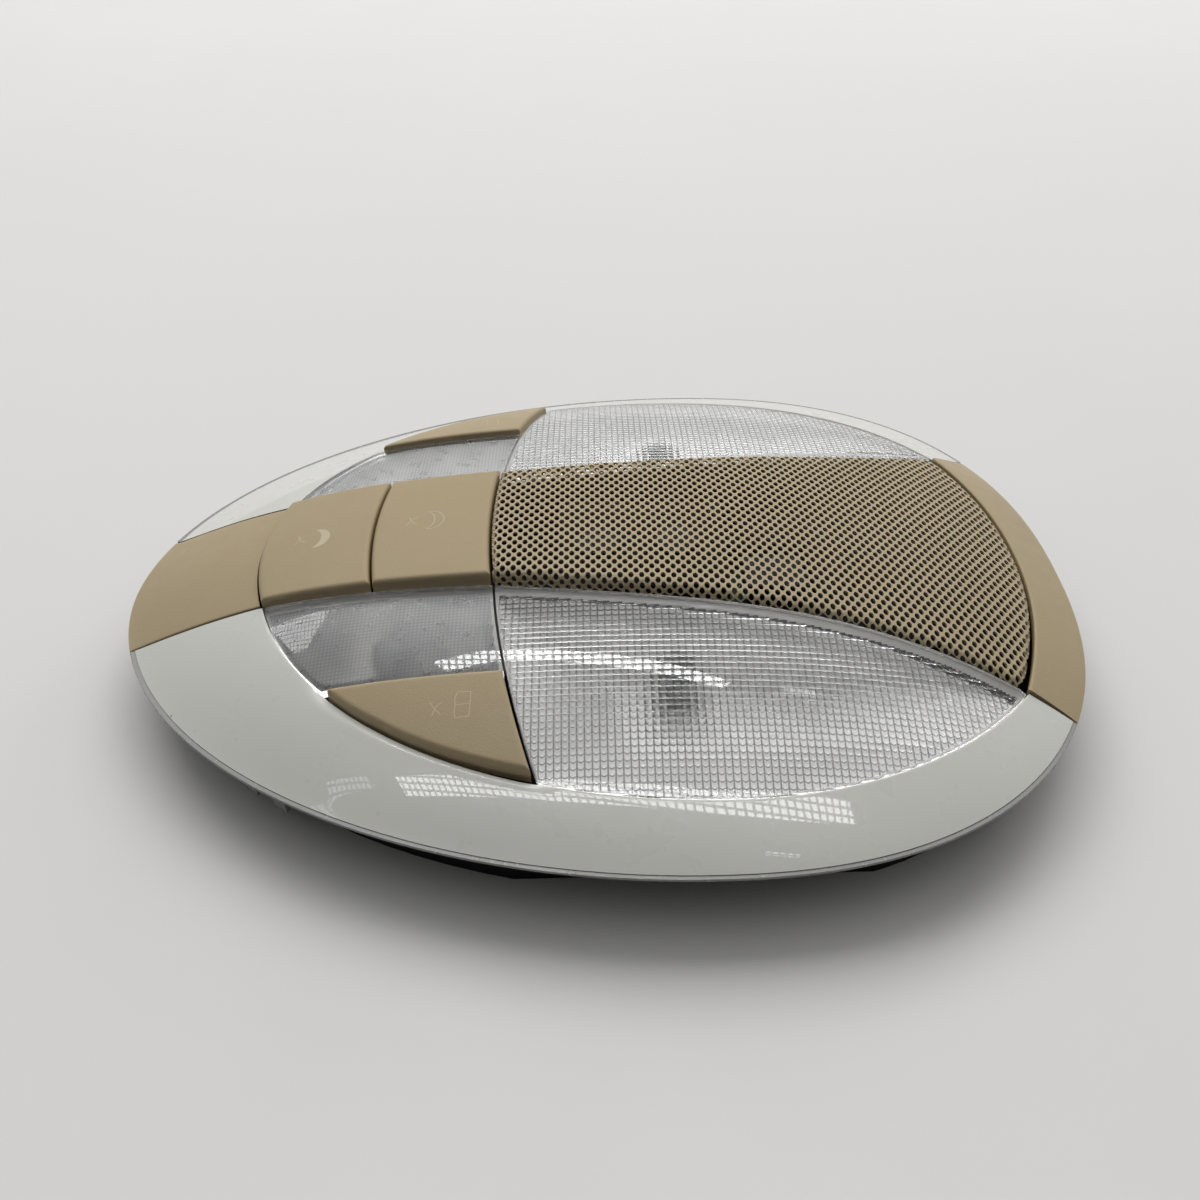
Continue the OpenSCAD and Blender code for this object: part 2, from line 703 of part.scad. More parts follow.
module front_button() {
    centre_button(cap_joint_x, cap_joint_bow, button_joint_x, button_joint_bow, front_button_x);
}

module rear_button() {
    centre_button(button_joint_x, button_joint_bow, grille_x, grille_joint_bow, rear_button_x);
}

// Three-cornered reading button between its straight edge, the lens seam and the ring
module reading_button(left) {
    a0 = lens_angle_front(reading_edge_y + tip_w);
    a1 = lens_angle_at(seam_x1);
    tip = lens_point(a0, tip_gap);
    end = lens_point(a1, reading_gap);
    plan = function(u, v)
        let(
            back = seam_x(reading_edge_y) - trim_gap,
            inner = [mix(tip[0], back, u), reading_edge_y],
            outer = lens_point(mix(a0, a1, u), mix(tip_gap, reading_gap, clamp01(u * 3))),
            p = mix(inner, outer, v),
            pull = seam_x(p[1]) - trim_gap - mix(back, end[0], v)
        ) [p[0] + u * pull, p[1]];
    on_side(left) color([0.64, 0.57, 0.44]) union() {
        hollow_shell(plan, seam_x1 - tip[0], (end[1] - reading_edge_y) * 0.7,
                     function(p) reading_proud, button_wall, button_skirt, 8, 4, 0.12);
        for (p = reading_posts) guide_post(p, reading_proud);
        plunger(reading_plunger, reading_proud);
    }
}

// Rubber switch pad: a soft dome between circuit board and plunger
module switch_pad(p) {
    top_r = plunger_r - 0.2;
    foot_r = plunger_r + 1.8;
    color([0.35, 0.36, 0.38]) translate([p[0], p[1], board_top]) rotate_extrude()
        polygon([[foot_r - 0.9, 0], [foot_r, 0], [foot_r, 0.8], [top_r, pad_h - 1], [top_r, pad_h],
                 [0, pad_h], [0, pad_h - 1.6], [top_r - 0.9, pad_h - 1.6], [foot_r - 0.9, 0.8]]);
}

// Half of the milky ring, from the front cap to the rear cap
module ring(left) {
    in0 = lens_angle_front((strip_front_w + trim_gap) / 2);
    in1 = lens_angle_rear((grille_rear_w + trim_gap) / 2);
    out0 = rim_angle_front((front_cap_w + trim_gap) / 2);
    out1 = rim_angle_rear((rear_cap_w + trim_gap) / 2);
    plan = function(u, v)
        let(
            inner = lens_point(mix(in0, in1, u)),
            foot = rim_point(mix(out0, out1, u), rim_ledge),
            rim = rim_point(mix(out0, out1, u))
        ) v <= 1 ? mix(inner, foot, v) : mix(foot, rim, v - 1);
    dip = function(v, p)
        let(
            ahead = smooth((p[0] - lens_point(lens_angle_front(reading_edge_y))[0] + 6) / 8),
            behind = smooth((seam_x1 + 5 - p[0]) / 8)
        ) ring_dip * ahead * behind * smooth(1 - v / 0.2);
    on_side(left) color([0.78, 0.79, 0.75]) union() {
        skin(plan, even_rows(44), [0, 0.06, 0.13, 0.22, 0.38, 0.55, 0.72, 0.88, 1, 1.05, 2],
             function(u, v, p) v <= 1
                 ? dome_z(p[0], p[1]) - dip(v, p)
                 : rim_z - skin_foot + rim_ledge_t,
             function(u, v, p) skin_under(p, ring_t));
        for (angle = [40, 46, 134.9, 139.6]) rim_hook(angle);
    }
}

// Prismatic dome lens between the grille, the lens seam and the ring
module dome_lens(left) {
    on_side(left) color([0.85, 0.87, 0.88, 0.5])
        skin(dome_lens_plan(), even_rows(22), even_rows(12),
             function(u, v, p) dome_z(p[0], p[1]),
             function(u, v, p) dome_z(p[0], p[1]) - lens_t);
}

// Plan of a dome lens, also used by the bowl below it
function dome_lens_plan() =
    let(
        gap = trim_gap / 2,
        end_x = grille_corner_x - 1.5,
        end_y = strip_half(end_x) + gap,
        a0 = lens_angle_at(seam_x1 + trim_gap),
        a1 = lens_angle_rear(end_y + 1.2),
        first = [seam_x0 + gap, strip_half(seam_x0) + gap],
        last = lens_point(a0, 0.2)
    ) function(u, v)
        let(
            x = mix(first[0], end_x, u),
            inner = [x, strip_half(x) + gap],
            outer = lens_point(mix(a0, a1, u), 0.2),
            p = mix(inner, outer, v),
            pull = seam_x(mix(first[1], last[1], v)) + gap - mix(first[0], last[0], v)
        ) [p[0] + (1 - u) * (1 - u) * pull, p[1]];

// Plan of a reading lens, also used by the bowl below it
function reading_lens_plan() =
    let(
        gap = trim_gap / 2,
        y0 = strip_half(seam_x0) + gap,
        y1 = reading_edge_y - trim_gap,
        a0 = lens_angle_front(strip_front_w / 2 + gap + 1.5),
        a1 = lens_angle_front(y1),
        turn = lens_point(a1, 0.2),
        first_x = lens_point(a0, 0.2)[0],
        back0 = seam_x(y0) - gap,
        back1 = seam_x(y1) - gap
    ) function(u, v)
        let(
            x = mix(first_x, back0, u),
            inner = [x, strip_half(x) + gap],
            outer = u < lens_break
                ? lens_point(mix(a0, a1, u / lens_break), 0.2)
                : [mix(turn[0], back1, (u - lens_break) / (1 - lens_break)), y1],
            p = mix(inner, outer, v),
            pull = seam_x(p[1]) - gap - mix(back0, back1, v)
        ) [p[0] + u * u * pull, p[1]];

module reading_lens(left) {
    us = concat([for (i = [0:5]) lens_break * i / 6], [for (i = [0:8]) mix(lens_break, 1, i / 8)]);
    on_side(left) color([0.85, 0.87, 0.88, 0.5])
        skin(reading_lens_plan(), us, even_rows(8),
             function(u, v, p) dome_z(p[0], p[1]),
             function(u, v, p) dome_z(p[0], p[1]) - lens_t);
}

// Bowl of a reflector over a share of a lens plan: flat around the bulb, rising to the lens
module bowl(plan, rim_margin, share, centre, bulb, nu, nv) {
    rise = function(u, v)
        let(
            eu = abs(u - centre[0]) / (u < centre[0] ? centre[0] : 1 - centre[0]),
            ev = abs(v - centre[1]) / (v < centre[1] ? centre[1] : 1 - centre[1])
        ) pow(clamp01((max(eu, ev) - 0.4) / 0.6), 1.4);
    height = function(u, v, p)
        mix(bowl_z + bowl_t, dome_z(p[0], p[1]) - lens_t - fit_gap, rise(u, v));
    inner = function(u, v)
        let(
            w = mix(share[0], share[1], u),
            width = norm(plan(w, 1) - plan(w, 0))
        ) plan(w, mix(bowl_margin / width, 1 - rim_margin / width, v));
    difference() {
        skin(inner, even_rows(nu), even_rows(nv), height,
             function(u, v, p) height(u, v, p) - bowl_t);
        translate([bulb[0], bulb[1], bowl_z - 2]) cylinder(r = collar_r + 0.6, h = 14);
    }
}

module dome_reflector(left) {
    on_side(left) color([0.8, 0.8, 0.8])
        bowl(dome_lens_plan(), 0.8, [0.048, 0.9], [0.36, 0.34], dome_bulb, 16, 10);
}

module reading_reflector(left) {
    on_side(left) color([0.8, 0.8, 0.8])
        bowl(reading_lens_plan(), bowl_margin, [0.08, 0.95], [0.5, 0.48], reading_bulb, 12, 8);
}

// Wedge-base bulb: sealed glass envelope
module bulb(p) {
    color([0.9, 0.9, 0.85, 0.6]) translate([p[0], p[1], bulb_z]) rotate_extrude()
        polygon(concat([[0, 0], [bulb_r, 0]],
                       [for (a = [0:15:90]) [bulb_r * cos(a), bulb_h - bulb_r + bulb_r * sin(a)]]));
}

// Twist-in bulb holder that stands on the housing floor
module holder(p) {
    color([0.5, 0.5, 0.48]) translate([p[0], p[1], 0]) {
        translate([0, 0, housing_t]) cylinder(r = 7.5, h = board_top - housing_t - 1.5);
        translate([0, 0, board_top - 1.5]) cylinder(r = 9, h = 1.5);
        translate([0, 0, board_top]) cylinder(r = collar_r, h = collar_h);
    }
}

// Brass strips from the circuit board to the holders of one pair of bulbs
module contacts(p) {
    color([0.75, 0.62, 0.3]) on_both_sides() for (dx = [-4, 4])
        translate([p[0] + dx - 1, board_edge - 3, board_top])
            cube([2, p[1] - board_edge - 4, 0.5]);
}

// Carrier that bridges the window of the frame plate and holds the two capsules
module microphone_housing() {
    color([0.15, 0.15, 0.16]) difference() {
        translate([window_from - mic_wall, -mic_w / 2, plate_top + mic_foot])
            cube([mic_l, mic_w, mic_h]);
        translate([window_from, -mic_w / 2 + 5, plate_top])
            cube([mic_l - 2 * mic_wall, mic_w - 10, mic_foot + mic_h - mic_wall]);
        microphone_places() translate([0, 0, -3]) cylinder(r = capsule_r + 0.1, h = 6);
    }
    color([0.15, 0.15, 0.16])
        for (x = [0, mic_l - mic_foot], y = [-mic_w / 2, mic_w / 2 - mic_foot])
            translate([window_from - mic_wall + x, y, plate_top])
                cube([mic_foot, mic_foot, mic_foot]);
}

module microphone_places() {
    for (x = [mic_l * 0.24, mic_l * 0.71])
        translate([window_from - mic_wall + x, 0, plate_top + mic_foot + mic_h]) children();
}

module microphone_capsules() {
    color([0.6, 0.6, 0.62]) microphone_places() {
        translate([0, 0, -mic_wall]) cylinder(r = capsule_r, h = mic_wall + 1);
        cylinder(r = capsule_r + 0.6, h = 1);
    }
}

rear_housing();
centre_frame();
circuit_board();
control_chip();
relay();
capacitors();
connector_header();
connector_pins();
frame_screws();
roof_clips();
front_cap();
rear_cap();
grille();
front_button();
rear_button();
reading_button(true);  // left_reading_button
reading_button(false);  // right_reading_button
switch_pad([front_button_x, 0]);  // front_switch_pad
switch_pad([rear_button_x, 0]);  // rear_switch_pad
on_side(true) switch_pad(reading_plunger);  // left_switch_pad
on_side(false) switch_pad(reading_plunger);  // right_switch_pad
ring(true);  // left_ring
ring(false);  // right_ring
dome_lens(true);  // left_dome_lens
dome_lens(false);  // right_dome_lens
reading_lens(true);  // left_reading_lens
reading_lens(false);  // right_reading_lens
dome_reflector(true);  // left_dome_reflector
dome_reflector(false);  // right_dome_reflector
reading_reflector(true);  // left_reading_reflector
reading_reflector(false);  // right_reading_reflector
on_side(true) bulb(dome_bulb);  // left_dome_bulb
on_side(false) bulb(dome_bulb);  // right_dome_bulb
on_side(true) bulb(reading_bulb);  // left_reading_bulb
on_side(false) bulb(reading_bulb);  // right_reading_bulb
on_side(true) holder(dome_bulb);  // left_dome_holder
on_side(false) holder(dome_bulb);  // right_dome_holder
on_side(true) holder(reading_bulb);  // left_reading_holder
on_side(false) holder(reading_bulb);  // right_reading_holder
contacts(dome_bulb);  // dome_contacts
contacts(reading_bulb);  // reading_contacts
microphone_housing();
microphone_capsules();
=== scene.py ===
import bmesh
import bpy
import numpy as np
from mathutils import Matrix, Vector


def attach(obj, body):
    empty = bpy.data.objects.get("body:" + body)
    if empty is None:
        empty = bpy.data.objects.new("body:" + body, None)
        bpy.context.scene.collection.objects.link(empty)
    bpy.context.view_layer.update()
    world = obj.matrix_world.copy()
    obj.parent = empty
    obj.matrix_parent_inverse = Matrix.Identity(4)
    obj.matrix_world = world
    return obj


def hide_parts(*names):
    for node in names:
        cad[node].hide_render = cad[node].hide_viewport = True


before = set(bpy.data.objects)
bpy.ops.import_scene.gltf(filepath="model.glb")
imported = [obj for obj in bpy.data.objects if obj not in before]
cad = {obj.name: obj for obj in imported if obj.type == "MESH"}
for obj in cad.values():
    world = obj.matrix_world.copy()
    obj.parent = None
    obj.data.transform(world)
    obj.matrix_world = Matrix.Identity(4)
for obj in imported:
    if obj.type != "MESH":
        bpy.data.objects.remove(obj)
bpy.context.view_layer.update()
scene = bpy.context.scene
scene.view_settings.view_transform = "Standard"

# The camera stands in front of the near side of the lamp, about 40 degrees above the table,
# with a lens as wide as a telephone's. Its place comes from the shape of the rim.
eye = Vector((0.0008, -0.2204, 0.2072))
back = -Vector((-0.0006, 0.7483, -0.6634)).normalized()
right = Vector((0.9998, -0.0135, -0.0162))
right = (right - right.dot(back) * back).normalized()
up = back.cross(right)
lens = bpy.data.cameras.new("camera")
lens.sensor_width = 36
lens.lens = 33.49
lens.clip_start = 0.01
camera = bpy.data.objects.new("camera", lens)
camera.matrix_world = Matrix((
    (right.x, up.x, back.x, eye.x),
    (right.y, up.y, back.y, eye.y),
    (right.z, up.z, back.z, eye.z),
    (0, 0, 0, 1),
))
scene.collection.objects.link(camera)
scene.camera = camera

# The rear housing is a deep tray of black plastic. The frame, board, bulbs, socket, screws and
# clips sit in and on it, and little of them shows. Their meshes are those of the solid model,
# so they only get their looks here.


def chain(tree, value, steps):
    """A value taken through maths nodes, one after the other."""
    for operation, number in steps:
        node = tree.nodes.new("ShaderNodeMath")
        node.operation = operation
        tree.links.new(value, node.inputs[0])
        if hasattr(number, "links"):
            tree.links.new(number, node.inputs[1])
        else:
            node.inputs[1].default_value = number
        value = node.outputs[0]
    return value


def surface(name, colour, rough, metal=0.0, mottle=0.06, mottle_size=60, grain=0.0,
            grain_size=2500, specks=None, painted_shade_cells=None, **shader):
    """A look with slow mottling, fine grain in the gloss and height, specks, and dark cell lines of
    painted shade.
    """
    look = bpy.data.materials.new(name)
    look.use_nodes = True
    tree = look.node_tree
    add, link = tree.nodes.new, tree.links.new
    bsdf = tree.nodes["Principled BSDF"]
    place = add("ShaderNodeTexCoord").outputs["Object"]

    def noise(scale, detail=3):
        n = add("ShaderNodeTexNoise")
        n.inputs["Scale"].default_value = scale
        n.inputs["Detail"].default_value = detail
        link(place, n.inputs["Vector"])
        return n.outputs["Fac"]

    def spread(source, start, end, low=0.0, high=1.0):
        n = add("ShaderNodeMapRange")
        for key, value in zip(("From Min", "From Max", "To Min", "To Max"), (start, end, low, high)):
            n.inputs[key].default_value = value
        link(source, n.inputs["Value"])
        return n.outputs["Result"]

    def blend(share, first, second):
        n = add("ShaderNodeMix")
        n.data_type = "RGBA"
        link(share, n.inputs["Factor"])
        for key, value in (("A", first), ("B", second)):
            if hasattr(value, "links"):
                link(value, n.inputs[key])
            else:
                n.inputs[key].default_value = [min(1, c * value) for c in colour] + [1]
        return n.outputs["Result"]

    noise_low, noise_high = 0.3, 0.7
    shade = blend(spread(noise(mottle_size), noise_low, noise_high), 1 - mottle, 1 + mottle)
    if specks:
        dots = add("ShaderNodeTexVoronoi")
        dots.inputs["Scale"].default_value = specks["scale"]
        link(place, dots.inputs["Vector"])
        clear = spread(dots.outputs["Distance"], specks["radius"], specks["radius"] * 1.6)
        shade = blend(clear, 0.35, shade)
    # Painted shade: dark lines along the edges of a grid of cells, bent into arcs by sag, stand for
    # the shade at the prism edges of a lens.
    if painted_shade_cells:
        size_x, size_y = (size * 0.001 for size in painted_shade_cells["size"])
        width, sag = painted_shade_cells["width"], painted_shade_cells["sag"]
        split = add("ShaderNodeSeparateXYZ")
        link(place, split.inputs[0])
        to_edge = (("FRACT", 0), ("SUBTRACT", 0.5), ("ABSOLUTE", 0))
        off_x = chain(tree, split.outputs["X"], (("DIVIDE", size_x),) + to_edge)
        arc = chain(tree, off_x, (("POWER", 2), ("MULTIPLY", -sag * size_y)))
        off_y = chain(tree, split.outputs["Y"], (("ADD", arc), ("DIVIDE", size_y)) + to_edge)
        line = spread(chain(tree, off_x, (("MAXIMUM", off_y),)), 0.5 - width, 0.5 - width / 2)
        shade = blend(line, shade, painted_shade_cells["shade"])
    link(shade, bsdf.inputs["Base Color"])
    gloss = spread(noise(mottle_size * 5), noise_low, noise_high, rough * 0.85, rough * 1.15)
    link(gloss, bsdf.inputs["Roughness"])
    bsdf.inputs["Metallic"].default_value = metal
    for key, value in shader.items():
        bsdf.inputs[key.replace("_", " ")].default_value = value
    if grain:
        bump = add("ShaderNodeBump")
        bump.inputs["Strength"].default_value = grain
        bump.inputs["Distance"].default_value = 0.0002
        link(noise(grain_size, 2), bump.inputs["Height"])
        link(bump.outputs["Normal"], bsdf.inputs["Normal"])
    return look


black_look = surface("black_plastic", (0.011, 0.011, 0.012), 0.6, grain=0.25, grain_size=1800,
                     Specular_IOR_Level=0.2)
frame_look = surface("frame_plastic", (0.012, 0.012, 0.012), 0.6, grain=0.15,
                     Specular_IOR_Level=0.2)
board_look = surface("board_mask", (0.02, 0.1, 0.045), 0.3, mottle=0.2, mottle_size=220)
chip_look = surface("moulded_case", (0.02, 0.02, 0.022), 0.5, grain=0.3)
relay_look = surface("relay_case", (0.03, 0.04, 0.07), 0.35, grain=0.15)
can_look = surface("drawn_can", (0.12, 0.12, 0.125), 0.5, metal=1.0, grain=0.1)
contact_look = surface("contact_brass", (0.6, 0.45, 0.2), 0.32, metal=1.0, mottle=0.12)
screw_look = surface("black_zinc_plate", (0.035, 0.035, 0.037), 0.5, metal=1.0, mottle=0.15)
clip_look = surface("spring_steel", (0.4, 0.41, 0.43), 0.33, metal=1.0, mottle=0.15)
rubber_look = surface("pad_rubber", (0.1, 0.1, 0.105), 0.6, grain=0.3)
holder_look = surface("holder_plastic", (0.62, 0.62, 0.6), 0.45, grain=0.2)
bulb_look = surface("bulb_glass", (0.95, 0.95, 0.94), 0.03, mottle=0.01,
                    Transmission_Weight=1.0, IOR=1.5)
for look, names in (
    (black_look, ("rear_housing", "connector_header", "microphone_housing")),
    (frame_look, ("centre_frame",)),
    (board_look, ("circuit_board",)),
    (chip_look, ("control_chip",)),
    (relay_look, ("relay",)),
    (can_look, ("capacitors", "microphone_capsules")),
    (contact_look, ("connector_pins", "dome_contacts", "reading_contacts")),
    (screw_look, ("frame_screws",)),
    (clip_look, ("roof_clips",)),
    (rubber_look, ("front_switch_pad", "rear_switch_pad", "left_switch_pad", "right_switch_pad")),
    (holder_look, ("left_dome_holder", "right_dome_holder", "left_reading_holder",
                   "right_reading_holder")),
    (bulb_look, ("left_dome_bulb", "right_dome_bulb", "left_reading_bulb",
                 "right_reading_bulb")),
):
    for name in names:
        mesh = cad[name].data
        mesh.materials.clear()
        mesh.materials.append(look)

# The milky ring is moulded in two halves, with a thin flange around its foot, a rounded inner
# lip, and snap hooks that catch under the housing flange. It is part of one shallow egg-shaped
# dome, and so is every outer piece. All sizes are in millimetres until a mesh is made.
rim_z = 17.0
dome_h = 20.5
half_w = 91.0
front_tip = -120.0
rear_tip = 120.0
front_l = 141.6
wide_x = front_tip + front_l
rear_l = rear_tip - wide_x
front_power = 1.94
rear_power = 2.35
front_fall, rear_fall = 3.7, 2.1
front_crown, rear_crown = 1.13, 0.95
fall_start, fall_run = -78, 150
skin_foot = 0.4
ring_t = 2.4
ring_side_w = 14.6
ring_front_w = 36.3
ring_rear_w = 5.4
lens_mid = wide_x + 3.1
lens_ahead = lens_mid - front_tip - ring_front_w
lens_behind = rear_tip - ring_rear_w - lens_mid
lens_side = half_w - ring_side_w
lens_power = 2.07
grille_x = -25.8
seam_x0 = grille_x + 1.5
seam_lean = 10.9
seam_x1 = seam_x0 + seam_lean
reading_line_y = 47.6
milky_look = surface("milky_plastic", (0.63, 0.625, 0.58), 0.3, mottle=0.02, mottle_size=25,
                     specks={"scale": 75, "radius": 0.018}, Coat_Weight=1.0,
                     Coat_Roughness=0.02)
# Painted shade: a darker, partly clear copy of the milky plastic for the foot ledge and every upright
# face of the ring and its hooks. It is darker because of how light falls there, with some of the
# ledge's real translucency.
painted_shade_edge_look = surface("milky_edge_painted_shade", (0.36, 0.36, 0.34), 0.25, mottle=0.03,
                     Transmission_Weight=0.3)


def mix(a, b, t):
    return a + (b - a) * t


def smooth(t):
    c = np.clip(t, 0, 1)
    return c * c * (3 - 2 * c)


def dome(x, y):
    """Height of the outside of the lamp over a plan point."""
    u = np.where(x < wide_x, (wide_x - x) / front_l, (x - wide_x) / rear_l)
    n = np.where(x < wide_x, front_power, rear_power)
    r = np.minimum(1, (np.abs(u) ** n + (np.abs(y) / half_w) ** n) ** (1 / n))
    t = smooth((x - fall_start) / fall_run)
    fall = 1 - r ** mix(front_fall, rear_fall, t)
    return rim_z + dome_h * fall ** mix(front_crown, rear_crown, t)


def oval(angle, mid_x, ahead, behind, side, ahead_n, behind_n):
    """Plan point of an egg at an angle: 0 is the rear end, 180 the front end."""
    c = np.cos(np.radians(angle))
    s = np.sin(np.radians(angle))
    n = np.where(c < 0, ahead_n, behind_n)
    x = mid_x + np.where(c < 0, -ahead, behind) * np.abs(c) ** (2 / n)
    return x, side * np.sign(s) * np.abs(s) ** (2 / n)


def rim_point(angle, inset=0.0):
    """Plan point of the rim at an angle, moved in by inset."""
    k = 1 - inset / half_w
    return oval(angle, wide_x, front_l * k, rear_l * k, half_w * k, front_power, rear_power)


def rim_angle(y, ahead):
    """Angle of the rim point with this y, on its front or its rear half."""
    n = front_power if ahead else rear_power
    a = np.degrees(np.arcsin((y / half_w) ** (n / 2)))
    return 180 - a if ahead else a


def lens_point(angle, inset=0.0):
    """Plan point of the inner edge of the ring, which bounds the lenses."""
    return oval(angle, lens_mid, lens_ahead - inset, lens_behind - inset, lens_side - inset,
                lens_power, lens_power)


def lens_angle(y, ahead):
    a = np.degrees(np.arcsin((y / lens_side) ** (lens_power / 2)))
    return 180 - a if ahead else a


def rolled(d, r):
    """How far an edge rounded to radius r lies below the face at distance d in from it."""
    return np.where(d < r, r - np.sqrt(np.maximum(0, r * r - (r - d) ** 2)), 0)


def shell(x, y, top, under):
    """Closed shell between two heights over a grid of plan points."""
    nu, nv = x.shape
    upper = np.stack([x, y, top], -1).reshape(-1, 3)
    lower = np.stack([x, y, under], -1).reshape(-1, 3)
    m = nu * nv
    i = np.arange(m).reshape(nu, nv)
    a, b, c, d = i[:-1, :-1], i[1:, :-1], i[1:, 1:], i[:-1, 1:]
    faces = [np.stack([a, b, c, d], -1).reshape(-1, 4), np.stack([d, c, b, a], -1).reshape(-1, 4) + m]
    loop = np.concatenate([i[:, 0], i[-1, 1:], i[-2::-1, -1], i[0, -2:0:-1]])
    after = np.roll(loop, -1)
    faces.append(np.stack([after, loop, loop + m, after + m], -1))
    return np.concatenate([upper, lower]), np.concatenate(faces).tolist()


def bar(corners, low, high):
    """Upright prism over a plan polygon."""
    n = len(corners)
    points = [(p[0], p[1], z) for z in (low, high) for p in corners]
    sides = [[i, (i + 1) % n, n + (i + 1) % n, n + i] for i in range(n)]
    return np.array(points), sides + [list(range(n))[::-1], list(range(n, 2 * n))]


def finish_mesh(mesh, sharp):
    bm = bmesh.new()
    bm.from_mesh(mesh)
    bmesh.ops.recalc_face_normals(bm, faces=bm.faces)
    bm.to_mesh(mesh)
    bm.free()
    mesh.shade_smooth()
    mesh.set_sharp_from_angle(angle=np.radians(sharp))


def make(name, parts, look, body, replaced, flip=False, sharp=30):
    """One object from closed parts, mirrored to the right side of the car where flip is set."""
    points, faces, start = [], [], 0
    for p, f in parts:
        points.append(np.asarray(p, float) * 0.001 * ((1, -1, 1) if flip else (1, 1, 1)))
        faces += [[k + start for k in face] for face in f]
        start += len(p)
    mesh = bpy.data.meshes.new(name)
    mesh.from_pydata(np.concatenate(points).tolist(), [], faces)
    finish_mesh(mesh, sharp)
    piece = bpy.data.objects.new(name, mesh)
    scene.collection.objects.link(piece)
    mesh.materials.append(look)
    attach(piece, body)
    if replaced:
        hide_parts(replaced)
    return piece


def rim_hook(angle):
    """Hook under the rim: an upright tab with a barb that reaches under the flange."""
    inset, half, drop = 5.0, 2, 12
    tab, barb = (-1.5, -0.3), (-0.31, 0.8)
    barb_z = (rim_z - 3.8, rim_z - 2.6)
    p = np.array(rim_point(angle, inset))
    q = np.array(rim_point(angle + 1, inset))
    along = (q - p) / np.linalg.norm(q - p)
    inward = np.array([-along[1], along[0]])
    outer = p + tab[0] * inward
    root = float(dome(outer[0], outer[1])) - 0.5

    def block(near, far, low, high):
        return bar([p + along * a + inward * b for a, b in
                    ((-half, near), (half, near), (half, far), (-half, far))], low, high)

    return [block(*tab, rim_z - drop, root), block(*barb, *barb_z)]


def ring_part():
    """One half of the ring: v runs from the lip to the foot, and from there out to the rim."""
    front_in_y, rear_in_y, front_out_y, rear_out_y = 20.2, 46.6, 21.8, 51.8
    ledge_w, ledge_h, ledge_r, lip_r, dip_h = 0.9, 0.7, 0.2, 0.4, 0.6
    in0, in1 = lens_angle(front_in_y, True), lens_angle(rear_in_y, False)
    out0, out1 = rim_angle(front_out_y, True), rim_angle(rear_out_y, False)
    us = np.linspace(0, 1, 181)
    vs = np.concatenate([[0, 0.004, 0.01, 0.02, 0.035, 0.055], np.linspace(0.08, 0.985, 22),
                         [1, 1.03, 1.06, 1.94, 1.98, 2]])
    u, v = np.meshgrid(us, vs, indexing="ij")
    ix, iy = lens_point(mix(in0, in1, u))
    fx, fy = rim_point(mix(out0, out1, u), ledge_w)
    rx, ry = rim_point(mix(out0, out1, u))
    x = np.where(v <= 1, mix(ix, fx, v), mix(fx, rx, v - 1))
    y = np.where(v <= 1, mix(iy, fy, v), mix(fy, ry, v - 1))
    tip_x = lens_point(lens_angle(reading_line_y, True))[0]
    beside_key = smooth((x - tip_x + 6) / 8) * smooth((seam_x1 + 5 - x) / 8)
    dip = dip_h * beside_key * smooth(1 - v / 0.1)
    inner = np.hypot(x - ix, y - iy)
    height = dome(x, y)
    ledge = rim_z - skin_foot + ledge_h - rolled(np.hypot(x - rx, y - ry), ledge_r)
    top = np.where(v <= 1, height - dip - rolled(inner, lip_r), ledge)
    return shell(x, y, top, np.maximum(dome(x, y) - ring_t, rim_z - skin_foot))


ring_hooks = (40, 46, 134.9, 139.6)
painted_shade_edge_h = 0.32
for flip, side in ((False, "left"), (True, "right")):
    hooks = [part for angle in ring_hooks for part in rim_hook(angle)]
    piece = make(side + "_milky_ring", [ring_part()] + hooks, milky_look, "lamp",
                 side + "_ring", flip)
    # Faces low at the foot and all upright faces take the darker copy: painted shade.
    piece.data.materials.append(painted_shade_edge_look)
    for face in piece.data.polygons:
        if face.center.z * 1000 < rim_z + painted_shade_edge_h or abs(face.normal.z) < 0.3:
            face.material_index = 1

# The lenses are clear mouldings, smooth outside. The dome lenses have a field of small pillow
# prisms inside, and the reading lenses a fine linen pattern. Both stop short of every edge.
trim_gap = 0.6
lens_t = 2.2
lens_clear = 0.2
cap_joint = -84.4
rear_joint = 107.6
rear_bow = 10.7
corner_x = rear_joint - rear_bow
strip_front_y, strip_mid_y, strip_rear_y = 19.9, 21.2, 46.3
strip_spread = 0.124
grille_run = corner_x - grille_x
grille_curve = (strip_rear_y - strip_mid_y - strip_spread * grille_run) / grille_run ** 4
seam_bow = 7.2
prism_cell, prism_h = (1.63, 1.5), 0.38
linen_cell, linen_h = (0.9, 0.9), 0.1
# how far the pattern stops short along the strip, at the rear, along the ring, at the front
prism_margins = (1.9, 0.6, 1.0, 0.5)
linen_margins = (1.5, 0.5, 0.6, 0.6)
field_fade = 0.4
clear_look = surface("clear_plastic", (0.97, 0.975, 0.975), 0.02, mottle=0.01,
                     Transmission_Weight=1.0, IOR=1.49)
# Both patterned lenses get dark cell lines painted into their colour. This is painted shade along the
# prism and rib edges, in arcs on the dome lenses.
prism_look = surface("prism_plastic", (0.96, 0.955, 0.95), 0.15, mottle=0.02,
                     painted_shade_cells={"size": prism_cell, "width": 0.15, "shade": 0.12, "sag": 1.4},
                     Transmission_Weight=1.0, IOR=1.49)
linen_look = surface("linen_plastic", (0.84, 0.83, 0.81), 0.3, mottle=0.02,
                     painted_shade_cells={"size": linen_cell, "width": 0.3, "shade": 0.55, "sag": 0},
                     Transmission_Weight=1.0, IOR=1.49)
margin_look = surface("margin_plastic", (0.34, 0.33, 0.31), 0.35, mottle=0.04,
                      Transmission_Weight=0.3, IOR=1.49)


